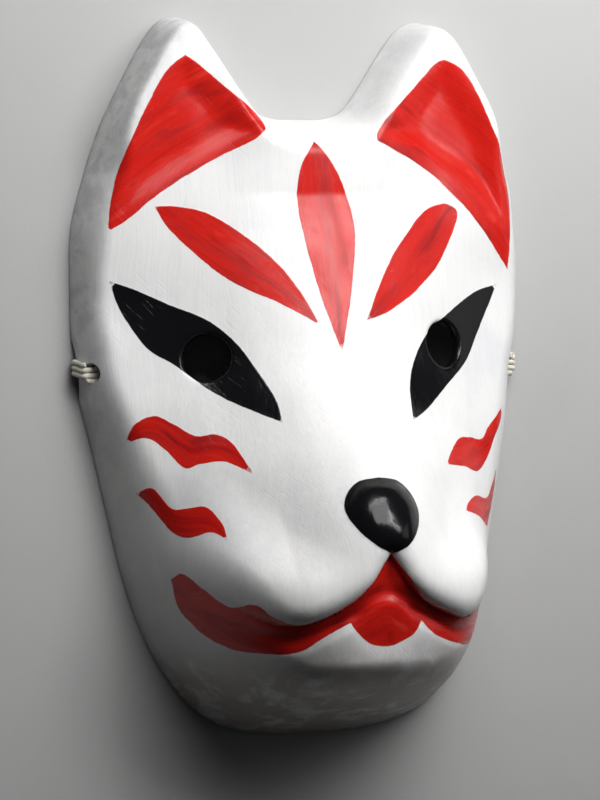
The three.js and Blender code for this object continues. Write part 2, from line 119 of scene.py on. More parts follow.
RIM_HALF = placed([
    (0, 72.1), (11.1, 72.3), (19.1, 74.2), (25.9, 79.6), (34.6, 88.3), (43.2, 96.2),
    (48.8, 99.1), (54.9, 100), (61.7, 98.3), (68.5, 92.9), (77.8, 82.1), (86.4, 71.2),
    (93.1, 59.6), (97.3, 49.2), (99.6, 38.3), (100, 26.7), (99, 10), (95.6, -6.7),
    (91.1, -22.5), (85.9, -39.2), (80, -55.8), (73.3, -70.4), (65.7, -81.7), (54.8, -91.1),
    (39.5, -97), (21, -99.5), (0, -100),
])
HEIGHT_X = [0, 17.3, 34.6, 51.9, 69.1, 86.4, 106.2]
HEIGHT_ROWS = {
    -100: [50.7, 49.3, 42.7, 32, 21.3, 13.3, 9.3],
    -94.2: [64.8, 63, 54.8, 41, 27.2, 17.6, 12.2],
    -88.3: [75, 72.6, 63.6, 47.8, 31.9, 21, 14.6],
    -78.3: [82, 79.3, 70.7, 56.3, 37.3, 22.7, 14.7],
    -66.7: [86, 85.3, 80, 64.7, 41.3, 23.3, 14.7],
    -55: [90.7, 87.3, 80.7, 65.3, 42, 25.3, 16],
    -41.7: [88.7, 82, 68.7, 53.3, 36.7, 24, 16],
    -25: [77.3, 70.7, 58, 44.7, 32, 22.7, 16.7],
    -8.3: [58.7, 54.7, 45.3, 35.3, 27.1, 21.6, 17.3],
    8.3: [45.3, 43.3, 37.3, 29.3, 23.1, 19.3, 16.7],
    25: [38, 36.7, 33.3, 27.3, 21.7, 17.6, 14.7],
    41.7: [32, 31.3, 29.3, 25.3, 22.4, 20, 18],
    58.3: [26.7, 26.7, 26, 24, 22.7, 21.7, 20.7],
    75: [22.7, 24, 24.7, 24.7, 24.7, 24.7, 24],
    101.7: [22.7, 22.7, 22.7, 24.7, 26.7, 27.3, 27.3],
}
print("mask:", WIDTH, "x", HEIGHT, "x about", DEPTH, "mm")

# %% [markdown]
# The small forms have outlines of their own, each drawn for the right half of the face only.
# Places are in hundredths, x of half the width and y of half the height, so that the whole
# mask can be made wider or taller by changing one number.

# %% Outlines of the small forms
EAR_FIELD = placed([
    (57.8, 87.8), (64.8, 84.2), (75.9, 72.9), (84.6, 59.2), (88.9, 46.7), (88.6, 38.8),
    (81.5, 42.9), (61.7, 52.9), (43.2, 60.2), (25.2, 65.5), (24.7, 67.9), (37.7, 77.1),
    (50.6, 85.4),
])
EAR_DEPTH, EAR_EDGE = 1.8, 10  # an edge is how wide the ramp is
MOUTH_UPPER = placed([
    (0, -48.2), (3.2, -51.2), (7.2, -55.4), (13, -59.2), (19.8, -62.3), (27.8, -64.8),
    (35.8, -66), (44.4, -64.8), (53.1, -61.3), (61.7, -56.5), (69.8, -51.2),
])
MOUTH_LOWER = placed([
    (71.1, -54.2), (69.6, -59.2), (65.4, -65.3), (58, -70.5), (49.4, -73), (40.7, -73.7),
    (31.5, -72.7), (22.8, -69.7), (15.3, -67.2), (7.4, -66.8), (0, -66.7),
])
MOUTH_DEPTH, MOUTH_EDGE = 2, 5
MOUTH_FADE = (across(47), across(72))
MOUTH_END_SHARE = 0.25  # of the depth, that is left at the corners of the mouth
LOBE_SWELL, LOBE_REACH, LOBE_FADE = 5.2, 7, (8, 34)
LIP_SWELL, LIP_REACH, LIP_FADE = 0.5, 3, (3, 16)
TONGUE_Y = along(-66.7)
TONGUE_HALF_WIDTH = across(11.7)
TONGUE_HALF_LENGTH = along(7.1)
TONGUE_SWELL = 0.8
NOSE_HALF = placed([
    (0, -27.7), (8, -28.6), (13.8, -32.1), (15.6, -36.7), (12.3, -41.7), (6.2, -45.8),
    (0, -47.5),
])
NOSE_SWELL, NOSE_REACH = 1.7, 6.5
NOSE_TOP, NOSE_TOP_EDGE = 0.9, 3.5  # how much more the upper edge stands out
NOSE_TOP_Y = (-46, -35)
BROW_TOP, BROW_RUN = along(50), 25
BROW_LEVEL = 0.2  # the slope that is taken away above the brow
BROW_HALF_WIDTH = (across(15), across(50))
EAR_Y = (along(55), along(76.7))  # where the side changes from the face's to the ear's
EAR_X = (across(44.4), across(64.2))

# %% [markdown]
# Four helpers do most of the work: a smooth line through given points, the mirror of a half
# outline, the distance from many points to a line, and the same distance with a sign that tells
# whether a point lies inside an outline. They take whole arrays, so thousands of points are
# worked out at once.

# %% Lines and distances
def smooth_line(points, steps, closed):
    spots = np.array(points, float)
    count = len(spots)
    line = []
    for i in range(count if closed else count - 1):
        if closed:
            a, b, c, d = spots[i - 1], spots[i], spots[(i + 1) % count], spots[(i + 2) % count]
        else:
            a, b = spots[max(i - 1, 0)], spots[i]
            c, d = spots[i + 1], spots[min(i + 2, count - 1)]
        for t in np.arange(steps) / steps:
            line.append(0.5 * (
                2 * b + (c - a) * t + (2 * a - 5 * b + 4 * c - d) * t * t
                + (3 * b - a - 3 * c + d) * t ** 3))
    if not closed:
        line.append(spots[-1])
    return np.array(line)


def mirrored(half):
    half = [tuple(spot) for spot in half]
    return half + [(-x, y) for x, y in reversed(half[1:-1])]


def distance_to(line, closed, x, y):
    best = np.full(np.shape(x), 1e12)
    pairs = zip(np.roll(line, 1, 0), line) if closed else zip(line[:-1], line[1:])
    for (ax, ay), (bx, by) in pairs:
        length = (bx - ax) ** 2 + (by - ay) ** 2
        s = np.clip(((x - ax) * (bx - ax) + (y - ay) * (by - ay)) / (length or 1), 0, 1)
        best = np.minimum(best, (x - ax - s * (bx - ax)) ** 2 + (y - ay - s * (by - ay)) ** 2)
    return np.sqrt(best)


def inside_by(outline, x, y):
    inside = np.zeros(np.shape(x), bool)
    for (ax, ay), (bx, by) in zip(np.roll(outline, 1, 0), outline):
        if ay != by:
            inside ^= ((ay > y) != (by > y)) & (x < ax + (y - ay) * (bx - ax) / (by - ay))
    distance = distance_to(outline, True, x, y)
    return np.where(inside, distance, -distance)


RIM = smooth_line(mirrored(RIM_HALF), 8, True)
EAR = smooth_line(EAR_FIELD, 6, True)
UPPER = smooth_line(MOUTH_UPPER, 6, False)
LOWER = smooth_line(MOUTH_LOWER, 6, False)
MOUTH = np.array(mirrored(list(UPPER) + list(LOWER)))
NOSE = np.array(mirrored(smooth_line(NOSE_HALF, 6, False)))
print("rim:", len(RIM), "points, mouth:", len(MOUTH), "points")

# %% [markdown]
# The face between the sections is a smooth surface. Between two rows, and between two columns,
# a cubic curve runs through the given heights with a slope taken from their neighbours.

# %% Height of the face
ROW_Y = along(np.array(sorted(HEIGHT_ROWS)))
FULL_X = across(np.array([-x for x in HEIGHT_X[:0:-1]] + HEIGHT_X))
GRID = DEPTH / 100 * np.array(
    [HEIGHT_ROWS[y][:0:-1] + HEIGHT_ROWS[y] for y in sorted(HEIGHT_ROWS)])


def knot_slopes(knots, values):
    slope = np.empty_like(values)
    slope[1:-1] = (values[2:] - values[:-2]) / (knots[2:] - knots[:-2])[:, None]
    slope[0] = (values[1] - values[0]) / (knots[1] - knots[0])
    slope[-1] = (values[-1] - values[-2]) / (knots[-1] - knots[-2])
    return slope


GRID_DX = knot_slopes(FULL_X, GRID.T).T
GRID_DY = knot_slopes(ROW_Y, GRID)
GRID_DXY = knot_slopes(ROW_Y, GRID_DX)


def cubic_parts(knots, t):
    i = np.clip(np.searchsorted(knots, t) - 1, 0, len(knots) - 2)
    h = knots[i + 1] - knots[i]
    u = np.clip((t - knots[i]) / h, 0, 1)
    near, far = 2 * u ** 3 - 3 * u ** 2 + 1, 3 * u ** 2 - 2 * u ** 3
    return i, near, (u ** 3 - 2 * u ** 2 + u) * h, far, (u ** 3 - u ** 2) * h


def face_height(x, y):
    i, a, da, b, db = cubic_parts(ROW_Y, y)
    j, p, dp, q, dq = cubic_parts(FULL_X, x)

    def across(value, slope, row):
        return (p * value[row, j] + dp * slope[row, j]
                + q * value[row, j + 1] + dq * slope[row, j + 1])

    return (a * across(GRID, GRID_DX, i) + da * across(GRID_DY, GRID_DXY, i)
            + b * across(GRID, GRID_DX, i + 1) + db * across(GRID_DY, GRID_DXY, i + 1))


# %% [markdown]
# Now the small forms. A "bulge" rises round from an edge, as a lobe does; a "dome" leaves its edge
# at a lower slope, as the nose does; a "step" is a soft ramp, as the sunk field of an ear has.
# Above the brow the face is made more level with a crease, where the gloss on the brow ends.
# The side that comes up from the rim is joined to the face with a smooth minimum, which is what
# a rounded corner is in a formula.

# %% Small forms and side
def step(start, end, value):
    t = np.clip((value - start) / (end - start), 0, 1)
    return t * t * (3 - 2 * t)


def bulge(distance, reach):
    u = 1 - np.clip(distance / reach, 0, 1)
    return np.sqrt(1 - u * u)


def dome(distance, reach):
    return 1 - (1 - np.clip(distance / reach, 0, 1)) ** 1.8


def smooth_minimum(a, b, width):
    h = np.clip(0.5 + 0.5 * (b - a) / width, 0, 1)
    return b * (1 - h) + a * h - width * h * (1 - h)


def small_forms(x, y):
    ax = np.abs(x)
    tongue = 1 - np.hypot(ax / TONGUE_HALF_WIDTH, (y - TONGUE_Y) / TONGUE_HALF_LENGTH)
    beside_tongue = 1 - step(-0.3, 0.3, tongue)
    strength = 1 - step(*MOUTH_FADE, ax)
    mouth = inside_by(MOUTH, ax, y)
    z = -EAR_DEPTH * step(0, EAR_EDGE, inside_by(EAR, ax, y))
    over = y > np.interp(ax, UPPER[:, 0], UPPER[:, 1])
    away = distance_to(UPPER, False, ax, y)
    lobe = LOBE_SWELL * bulge(away, LOBE_REACH) * (1 - step(*LOBE_FADE, away)) * strength
    lip = LIP_SWELL * bulge(-mouth, LIP_REACH) * (1 - step(*LIP_FADE, -mouth)) * beside_tongue
    z += np.where(over, lobe, np.where(mouth < 0, lip, 0))
    share = MOUTH_END_SHARE + (1 - MOUTH_END_SHARE) * strength
    z -= MOUTH_DEPTH * step(0, MOUTH_EDGE, mouth) * share * beside_tongue
    z += TONGUE_SWELL * step(-0.25, 0.9, tongue)
    z += BROW_LEVEL * np.clip(y - BROW_TOP, 0, BROW_RUN) * (1 - step(*BROW_HALF_WIDTH, ax))
    nose = inside_by(NOSE, x, y)
    z += NOSE_TOP * step(0, NOSE_TOP_EDGE, nose) * np.clip(
        (y - NOSE_TOP_Y[0]) / (NOSE_TOP_Y[1] - NOSE_TOP_Y[0]), 0, 1)
    return z + NOSE_SWELL * dome(nose, NOSE_REACH)


def form(x, y):
    return face_height(x, y) + small_forms(x, y)


def with_side(height, x, y, inset):
    outer_side = EAR_SLOPE - EAR_INNER_SLOPE
    at_ear = EAR_INNER_SLOPE - SIDE_SLOPE + outer_side * step(*EAR_X, np.abs(x))
    side = (SIDE_SLOPE + step(*EAR_Y, y) * at_ear) * np.maximum(0, inset)
    wide = FACE_ROUNDING + (EAR_ROUNDING - FACE_ROUNDING) * step(*EAR_Y, y)
    return smooth_minimum(height, side, np.minimum(wide, 0.9 * height))


# %% [markdown]
# The outside of a mask built up by hand from wet paper is never quite even. A few broad waves of
# a fifth of a millimetre are enough for the gloss to break up as it does on the real one. They
# are part of the mesh, because a bump in the shader wouldn't show in the outline.

# %% Outer surface and hollow
WAVES = np.random.default_rng(7).uniform(-1, 1, (14, 4))
SHORT_WAVE, WAVE_SPREAD = 16, 12
OUTER_WAVES, INNER_WAVES = 0.2, 0.3
CALM_EDGE = (1, 8)  # the waves grow over this distance from the rim
STEEPEST = 1.9  # where a wall is steep, its height is more than its thickness


def hand_waves(x, y, size):
    total = np.zeros(np.shape(x))
    for k, (turned, shift, length, share) in enumerate(WAVES):
        angle = math.pi * turned
        wave = 2 * math.pi / (SHORT_WAVE + WAVE_SPREAD * abs(length) + 3 * (k % 4))
        total += (0.6 + 0.4 * share) * np.sin(
            wave * (x * math.cos(angle) + y * math.sin(angle)) + 9 * shift)
    return size * total / len(WAVES) ** 0.5


def outer_height(x, y):
    inset = inside_by(RIM, x, y)
    waves = hand_waves(x, y, OUTER_WAVES) * step(*CALM_EDGE, inset)
    return with_side(form(x, y) + waves, x, y, inset)


def hollow_height(x, y, reach=2):
    slope_x = (form(x + reach, y) - form(x - reach, y)) / (2 * reach)
    slope_y = (form(x, y + reach) - form(x, y - reach)) / (2 * reach)
    steep = np.minimum(STEEPEST, np.sqrt(1 + slope_x ** 2 + slope_y ** 2))
    inset = inside_by(RIM, x, y) - SHELL
    waves = hand_waves(y, x, INNER_WAVES) * step(*CALM_EDGE, inset)
    return with_side(form(x, y) - SHELL * steep + waves, x, y, inset)


test = np.array([[0, -44], [43, 8], [0, 60]], float)
print("height of nose, eye and forehead:", outer_height(test[:, 0], test[:, 1]).round(1), "mm")

# %% [markdown]
# ## The uneven edge
# No mould and no hand is quite even. Seen from the front, the real mask's edge stands out further
# on one side at the temples and on the other at the chin. A small sideways pull, full at the rim
# and nothing in the middle of the face, gives that. It could be drawn into the outline itself,
# but then the two halves would need an outline each.

# %% Sideways pull, in millimetres for each y
PULL = {
    -120: 1.5, -104: 1.3, -84: -0.2, -66: -1.0, -40: -0.9, -20: -1.3,
    0: -2.4, 14: -1.7, 34: -1.0, 50: -0.9, 66: 0.3, 120: 0.3,
}
PULL_Y = np.array(sorted(PULL), float)
PULL_X = np.array([PULL[y] for y in sorted(PULL)])[:, None]
NARROWEST = 44  # below this half width the pull is as it is there
PULL_SHARE = (0.5, 0.95)  # of the half width, from no pull to the full one
right_side = RIM[:len(RIM) // 2 + 1]
right_side = right_side[np.argmax(right_side[:, 1]):][::-1]  # chin to ear tip


def pulled(points):
    """Points of the even mask, moved to where they are on the uneven one."""
    points = np.array(points, float)
    x, y = points[:, 0], points[:, 1]
    i, near, slope_near, far, slope_far = cubic_parts(PULL_Y, y)
    slopes = knot_slopes(PULL_Y, PULL_X)[:, 0]
    amount = (near * PULL_X[i, 0] + slope_near * slopes[i]
              + far * PULL_X[i + 1, 0] + slope_far * slopes[i + 1])
    half_width = np.maximum(NARROWEST, np.interp(y, right_side[:, 1], right_side[:, 0]))
    points[:, 0] += amount * step(*PULL_SHARE, np.abs(x) / half_width)
    return points


def before_pull(points):
    """Where points of the finished mask come from on the even one."""
    even = np.array(points, float)
    for _ in range(4):
        even += points - pulled(even)
    return even


print("pull at the temples:", round(pulled([[80, 0]])[0][0] - 80, 2), "mm")

# %% [markdown]
# ## The elastic cord
# The cord is one length of round braided elastic. It is wound three times round the rim through
# a hole on each side, and between the windings it lies in loose curves on the table, inside the
# hollow. The cord comes early, because its length is a fact of the object and its route has to
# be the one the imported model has. It is a mesh tube with its own coordinates along and round the
# cord, so that the braid can follow it; a bevelled curve would be shorter to write, but carries
# no such coordinates.

# %% Route of the free cord, in millimetres
CORD_DIAMETER = 1.8
CORD_HOLE_Y = along(2)
CORD_HOLE_Z = 8.4
SPAN_START = 71.13  # where the free cord leaves the winding
RESTING = CORD_DIAMETER / 2 + 0.12
SPAN_POINTS = [
    (-SPAN_START, CORD_HOLE_Y, 4.2),
    (-SPAN_START + 4, CORD_HOLE_Y + 1.2, 2.6),
    (-SPAN_START + 8, CORD_HOLE_Y + 3.8, 1.3),
    (-SPAN_START + 13, CORD_HOLE_Y + 8.1, RESTING),
    (across(-56.8), along(24.2), RESTING),
    (across(-24.7), along(25), RESTING),
    (across(3.7), along(-1.7), RESTING),
    (across(27.2), along(-31.7), RESTING),
    (across(53.1), along(-40), RESTING),
    (across(70.4), along(-25), RESTING),
    (SPAN_START - 9, CORD_HOLE_Y - 10.9, RESTING),
    (SPAN_START - 6, CORD_HOLE_Y - 5.6, 1.4),
    (SPAN_START - 3, CORD_HOLE_Y - 2, 2.8),
    (SPAN_START, CORD_HOLE_Y, 4.2),
]


def mixed(start, end, time_start, time_end, time):
    return ((time_end - time) * start + (time - time_start) * end) / (time_end - time_start)


def curve_point(spots, times, time):
    """A point of the smooth curve that runs from the second to the third of four spots."""
    a = [mixed(spots[k], spots[k + 1], times[k], times[k + 1], time) for k in range(3)]
    b = [mixed(a[k], a[k + 1], times[k], times[k + 2], time) for k in range(2)]
    return mixed(b[0], b[1], times[1], times[2], time)


def run_lengths(line):
    """How far along a line each of its points lies."""
    return np.concatenate([[0], np.cumsum(np.linalg.norm(np.diff(line, axis=0), axis=1))])


def even_steps(line, spacing):
    length = run_lengths(line)
    even = np.linspace(0, length[-1], max(2, int(length[-1] / spacing) + 1))
    return np.stack([np.interp(even, length, axis) for axis in line.T], 1)


def cord_curve(points, spacing):
    """Smooth line through uneven points without overshoot, then cut to even steps."""
    spots = np.array(points, float)
    gaps = np.sqrt(np.linalg.norm(np.diff(spots, axis=0), axis=1))
    times = np.concatenate([[-gaps[0]], [0], np.cumsum(gaps), [gaps.sum() + gaps[-1]]])
    spots = np.vstack([2 * spots[0] - spots[1], spots, 2 * spots[-1] - spots[-2]])
    line = [curve_point(spots[k:k + 4], times[k:k + 4], time)
            for k in range(len(spots) - 3)
            for time in np.linspace(times[k + 1], times[k + 2], 40, endpoint=False)]
    return even_steps(np.array(line + [spots[-2]]), spacing)


SPAN_SPACING = 1.2
span_path = pulled(cord_curve(SPAN_POINTS, SPAN_SPACING))

# %% [markdown]
# A tube is a ring of points carried along a path. Each ring is turned from the one before by the
# smallest turn that keeps it square to the path, so the tube doesn't twist. Two attributes go
# with every corner of a face: how far along the cord it lies, in millimetres, and how far round
# it, from 0 to 1. They sit on the corners and not on the points, because a point where the tube
# closes would have to be 0 and 1 at once.

# %% Tube along a path
CORD_SIDES = 20
END_SHARE = 0.72  # the ends are a little narrower, as a cut cord is


def object_from(name, points_mm, faces):
    mesh = bpy.data.meshes.new(name)
    mesh.from_pydata([tuple(spot) for spot in np.asarray(points_mm) * MM], [], faces)
    made = put_in_scene(name, mesh)
    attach(made, "root")
    return made


def store(mesh, name, values, domain="POINT"):
    attribute = mesh.attributes.new(name, "FLOAT", domain)
    attribute.data.foreach_set("value", np.asarray(values, np.float32).ravel())


def cord_tube(name, path):
    tangents = np.gradient(path, axis=0)
    tangents /= np.linalg.norm(tangents, axis=1)[:, None]
    side = np.cross(tangents[0], (0.3, 0.2, 1.0))
    angles = 2 * np.pi * np.arange(CORD_SIDES) / CORD_SIDES
    last = len(path) - 1
    rings = []
    for i, (spot, tangent) in enumerate(zip(path, tangents)):
        side = side - tangent * side.dot(tangent)
        side /= np.linalg.norm(side)
        circle = np.outer(np.cos(angles), side) + np.outer(
            np.sin(angles), np.cross(tangent, side))
        radius = CORD_DIAMETER / 2 * (END_SHARE if i in (0, last) else 1)
        rings.append(spot + radius * circle)
    points = np.vstack(rings + [path[:1], path[-1:]])
    faces, far_along, far_round = [], [], []
    run = run_lengths(path)
    for r in range(last):
        for k in range(CORD_SIDES):
            a, b = r * CORD_SIDES + k, r * CORD_SIDES + (k + 1) % CORD_SIDES
            faces.append((a, b, b + CORD_SIDES, a + CORD_SIDES))
            far_along += [run[r], run[r], run[r + 1], run[r + 1]]
            far_round += [k, k + 1, k + 1, k]
    for k in range(CORD_SIDES):
        n = (k + 1) % CORD_SIDES
        faces.append((len(points) - 2, n, k))
        faces.append((len(points) - 1, last * CORD_SIDES + k, last * CORD_SIDES + n))
        far_along += 3 * [run[0]] + 3 * [run[-1]]
        far_round += 6 * [k]
    made = object_from(name, points, faces)
    made.data.polygons.foreach_set("use_smooth", [True] * len(faces))
    store(made.data, "along", far_along, "CORNER")
    store(made.data, "round", np.array(far_round) / CORD_SIDES, "CORNER")
    return made


elastic_span = cord_tube("elastic_span", span_path)
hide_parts("elastic_cord")
print("free cord:", len(elastic_span.data.polygons), "faces")

# %% [markdown]
# A winding is the same tube on a path that goes round the strip of shell between the hole and
# the rim. Seen from the front the turns lean: they sit together in the hole and come down to the
# rim a little nearer the ears, as wound cord does when it is pulled tight.

# %% Windings round the rim
RIM_ARCH_HEIGHT = 2.5
WINDING_TURNS = 3
TURN_PITCH = 1.02 * CORD_DIAMETER
STRIP_TOP = CORD_HOLE_Z - 2.1
STRIP_ROOM = (0.1, 0.3)  # outside and inside, for the roundness of the shell's side
CLEARANCE = 0.15  # between the cord and the strip
LEAN = 0.3  # mm towards the ears for each mm down


def face_x(height_at, z):
    x = np.arange(WIDTH / 2, WIDTH / 2 - 14, -0.01)
    return float(x[np.argmax(height_at(x, np.full(len(x), CORD_HOLE_Y)) >= z)])


strip = np.array([
    (face_x(outer_height, RIM_ARCH_HEIGHT) + STRIP_ROOM[0], RIM_ARCH_HEIGHT),
    (face_x(outer_height, STRIP_TOP) + STRIP_ROOM[0], STRIP_TOP),
    (face_x(hollow_height, STRIP_TOP) - STRIP_ROOM[1], STRIP_TOP),
    (face_x(hollow_height, RIM_ARCH_HEIGHT) - STRIP_ROOM[1], RIM_ARCH_HEIGHT),
])


def round_strip(distance, arc_steps=8):
    """Line round the four corners of the strip at a distance, with round corners."""
    middle = strip.mean(0)
    line = []
    for i, here in enumerate(strip):
        angles = []
        for other in (strip[i - 1], strip[(i + 1) % 4]):
            d = (other - here) / np.linalg.norm(other - here)
            normal = np.array([d[1], -d[0]])
            if normal.dot(here - middle) < 0:
                normal = -normal
            angles.append(math.atan2(normal[1], normal[0]))
        swing = (angles[1] - angles[0] + math.pi) % (2 * math.pi) - math.pi
        for angle in angles[0] + swing * np.linspace(0, 1, arc_steps + 1):
            line.append(here + distance * np.array([math.cos(angle), math.sin(angle)]))
    return np.array(line)


def winding_path(side):
    loop = np.roll(round_strip(CLEARANCE + CORD_DIAMETER / 2), -16, axis=0)
    spots = np.vstack([loop] * WINDING_TURNS)
    turns = np.arange(len(spots)) / len(loop)
    y = CORD_HOLE_Y + TURN_PITCH * (turns - WINDING_TURNS / 2)
    y += LEAN * (spots[:, 1].max() - spots[:, 1])
    return pulled(np.stack([side * spots[:, 0], y, spots[:, 1]], 1))


windings = []
for side, label in ((-1, "left"), (1, "right")):
    path = winding_path(side)
    winding = cord_tube("winding_" + label, path)
    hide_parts("elastic_winding_" + label)
    windings.append(winding)
print("winding:", round(run_lengths(path)[-1]), "mm of cord in", WINDING_TURNS, "turns")

# %% [markdown]
# ## The shell
# The shell is one closed mesh made of four parts: bands that follow the rim, a field of
# triangles over the face, a lip at each eye hole, and the same again for the hollow. Near the
# rim the surface is steep, so the bands lie close together there. The field is a Delaunay
# triangulation, which takes points wherever they are wanted: an even spread, and extra points on
# the edges of the forms and of the painted marks. A remeshed or sculpted surface would lose
# those edges.

# %% Rings that follow the rim
def inset_ring(inset):
    run = np.roll(RIM, -1, 0) - np.roll(RIM, 1, 0)
    run /= np.linalg.norm(run, axis=1)[:, None]
    return RIM + inset * np.stack([run[:, 1], -run[:, 0]], 1)


spots, faces, inner_faces = [], [], []


def put(points):
    """Adds points to the shell and returns their numbers."""
    first = sum(len(part) for part in spots)
    spots.append(np.asarray(points, float))
    return np.arange(first, first + len(points))


def band(ring_a, ring_b, into):
    next_a, next_b = np.roll(ring_a, -1), np.roll(ring_b, -1)
    into += [tuple(int(k) for k in corners) for corners in zip(ring_a, next_a, next_b, ring_b)]


def raised(ring, height_at):
    return np.column_stack([ring, height_at(ring[:, 0], ring[:, 1])])


print("points round the rim:", len(inset_ring(0)))

# %% [markdown]
# The painted marks come next, because the mesh follows their edges. Each mark is a few smooth
# runs that meet in corners, as a brush draws it: one run up, one run back. They are drawn in the
# plan of the finished mask, so they are pulled with nothing. A mark of two runs is painted along
# its middle; the ears and the mouth have a line of their own that the brush follows.

# %% Outlines of the painted marks, in millimetres on the plan
RED_MARKS = {
    "ear_left": [
        [(-46.5, 105.5), (-53, 100.5), (-58.5, 91.5), (-65, 78.5), (-70.5, 63), (-73, 50.5),
         (-72.8, 48)],
        [(-72.8, 48), (-66.5, 52), (-58.5, 58.5), (-48.5, 65), (-35, 72.5), (-24.5, 77.5),
         (-19.7, 81.5)],
        [(-19.7, 81.5), (-21.8, 86), (-31, 93.5), (-41, 102), (-46.5, 105.5)],
    ],
    "ear_right": [
        [(46.7, 105.5), (43, 103.8), (34, 95), (24, 85.5), (20, 80.5), (19.8, 78)],
        [(19.8, 78), (33.3, 71.5), (44.3, 64.5), (58.5, 51), (71.2, 35)],
        [(71.2, 35), (72.5, 58), (70, 72), (63.6, 84.6), (57.5, 96.3), (52.5, 102.5),
         (46.7, 105.5)],
    ],
    "brow_middle": [
        [(-2.6, 77.5), (-7.5, 70), (-9.6, 60), (-8.8, 47.5), (-6, 31), (-2.7, 16.7), (-0.2, 7.8)],
        [(-0.2, 7.8), (2.3, 14.6), (7, 31), (9.8, 48), (7.7, 60.5), (3.3, 70), (-2.6, 77.5)],
    ],
    "brow_left": [
        [(-57.5, 56), (-52, 56.2), (-42.6, 54.5), (-33, 49.5), (-21.5, 40), (-12.8, 29),
         (-6.6, 16.4)],
        [(-6.6, 16.4), (-18.4, 23.5), (-33.5, 31), (-46.3, 41.8), (-54, 50), (-57.5, 56)],
    ],
    "brow_right": [
        [(10.6, 17.9), (16.7, 29), (23.8, 40), (33.8, 51.4), (39.4, 55.5), (45.5, 57),
         (50, 55.5)],
        [(50, 55.5), (50.2, 51.5), (43, 38), (32, 28), (20, 21), (10.6, 17.9)],
    ],
    "cheek_left_upper": [
        [(-69.2, -21), (-66.5, -14.5), (-60.3, -12), (-54.5, -15), (-48.7, -18.8),
         (-42.8, -18.4), (-38.4, -21.6), (-34.4, -31.3)],
        [(-34.4, -31.3), (-41.4, -27.3), (-48.5, -27.8), (-53, -28.9), (-58, -22.7),
         (-63.5, -19), (-69.2, -21)],
    ],
    "cheek_right_upper": [
        [(34.7, -30.2), (37.4, -27), (43.1, -22.2), (49, -21.6), (55, -22.5), (59, -18.6),
         (67, -11)],
        [(67, -11), (65.5, -16.5), (61.2, -22.7), (57, -29), (51, -33.1), (44, -31.2),
         (34.7, -30.2)],
    ],
    "cheek_left_lower": [
        [(-65.8, -37), (-62, -35.3), (-57.4, -41.8), (-53, -42), (-48.4, -41.6),
         (-45.2, -46.8), (-44.6, -52.5)],
        [(-44.6, -52.5), (-48.3, -49.6), (-54, -51.5), (-58, -48.7), (-62, -41.8), (-65.8, -37)],
    ],
    "cheek_right_lower": [
        [(39.8, -45.5), (42.5, -42.7), (48, -41), (54.5, -42.3), (59, -38.2), (63, -33)],
        [(63, -33), (61.5, -40), (57, -48), (53, -51.5), (47, -48), (39.8, -45.5)],
    ],
    "mouth": [
        [(-57.2, -65), (-55, -63), (-50.7, -67.8), (-45, -73.4), (-40.5, -72.4), (-36, -76.2),
         (-29.8, -79), (-23.7, -78), (-12.3, -72.5), (-6, -65.8), (0, -56.8)],
        [(0, -56.8), (3.7, -62), (12.5, -72.3), (22.5, -77), (31, -79), (42, -75),
         (50.5, -67.5), (57, -63)],
        [(57, -63), (57.5, -71), (54, -80), (46, -86.5), (36, -89), (26, -87), (17.6, -83.9),
         (12.5, -79.2)],
        [(12.5, -79.2), (9.5, -83.7), (4, -86.3), (-0.7, -87), (-6, -85.5), (-10.8, -81),
         (-12, -78.6)],
        [(-12, -78.6), (-21.4, -84), (-27.4, -88), (-35.5, -88.5), (-43.3, -87), (-50, -81.5),
         (-54.8, -74), (-57.2, -65)],
    ],
}
BRUSH_LINES = {
    "ear_left": [(-72.8, 48), (-48, 66), (-19.7, 81.5)],
    "ear_right": [(19.8, 78), (46, 62), (71.2, 35)],
    "mouth": [(-57, -66), (-44, -79), (-30, -83.5), (-14, -78), (0, -72), (14, -77),
              (31, -83), (44, -81), (57, -66)],
}
BLACK_MARKS = {
    "eye_left": [
        [(-72.4, 32), (-64, 29), (-53.4, 24), (-42, 18.8), (-33.5, 10.8), (-28, 1.2),
         (-24.3, -7), (-23.5, -15)],
        [(-23.5, -15), (-31.5, -11), (-41.2, -5.3), (-52.4, 4), (-61.7, 10.5), (-69.2, 22.4),
         (-72.4, 32)],
    ],
    "eye_right": [
        [(66.6, 30), (56.3, 27), (45, 20), (36.6, 14.4), (30, 7.4), (24.5, -2.8), (22.6, -15.3)],
        [(22.6, -15.3), (31.4, -11.3), (41.2, -4.4), (51.7, 4), (58, 14.4), (66.6, 30)],
    ],
    "nose": [[tuple(spot) for spot in NOSE[::3]] + [tuple(NOSE[0])]],
}


def mark_outline(runs):
    return np.vstack([smooth_line(run, 8, False)[:-1] for run in runs])


def brush_line(name, runs):
    if name in BRUSH_LINES:
        return smooth_line(BRUSH_LINES[name], 6, False)
    there, back = (smooth_line(run, 8, False) for run in runs)
    share = np.linspace(0, 1, 25)
    halves = [np.stack([np.interp(share, np.linspace(0, 1, len(run)), axis) for axis in run.T], 1)
              for run in (there, back[::-1])]
    return (halves[0] + halves[1]) / 2


RED = {name: mark_outline(runs) for name, runs in RED_MARKS.items()}
BLACK = {name: mark_outline(runs) for name, runs in BLACK_MARKS.items()}
BRUSHED = {name: brush_line(name, runs) for name, runs in RED_MARKS.items()}
print("painted marks:", len(RED), "red and", len(BLACK), "black")

# %% [markdown]
# An eye hole is a round bore straight through the shell, square to its surface. The two were cut
# by hand, so one sits a little higher than the other. Each ring of the lip is found by sliding a
# circle along the bore's axis until it meets the surface. The lip is rounded, and the paint on it
# catches the light.

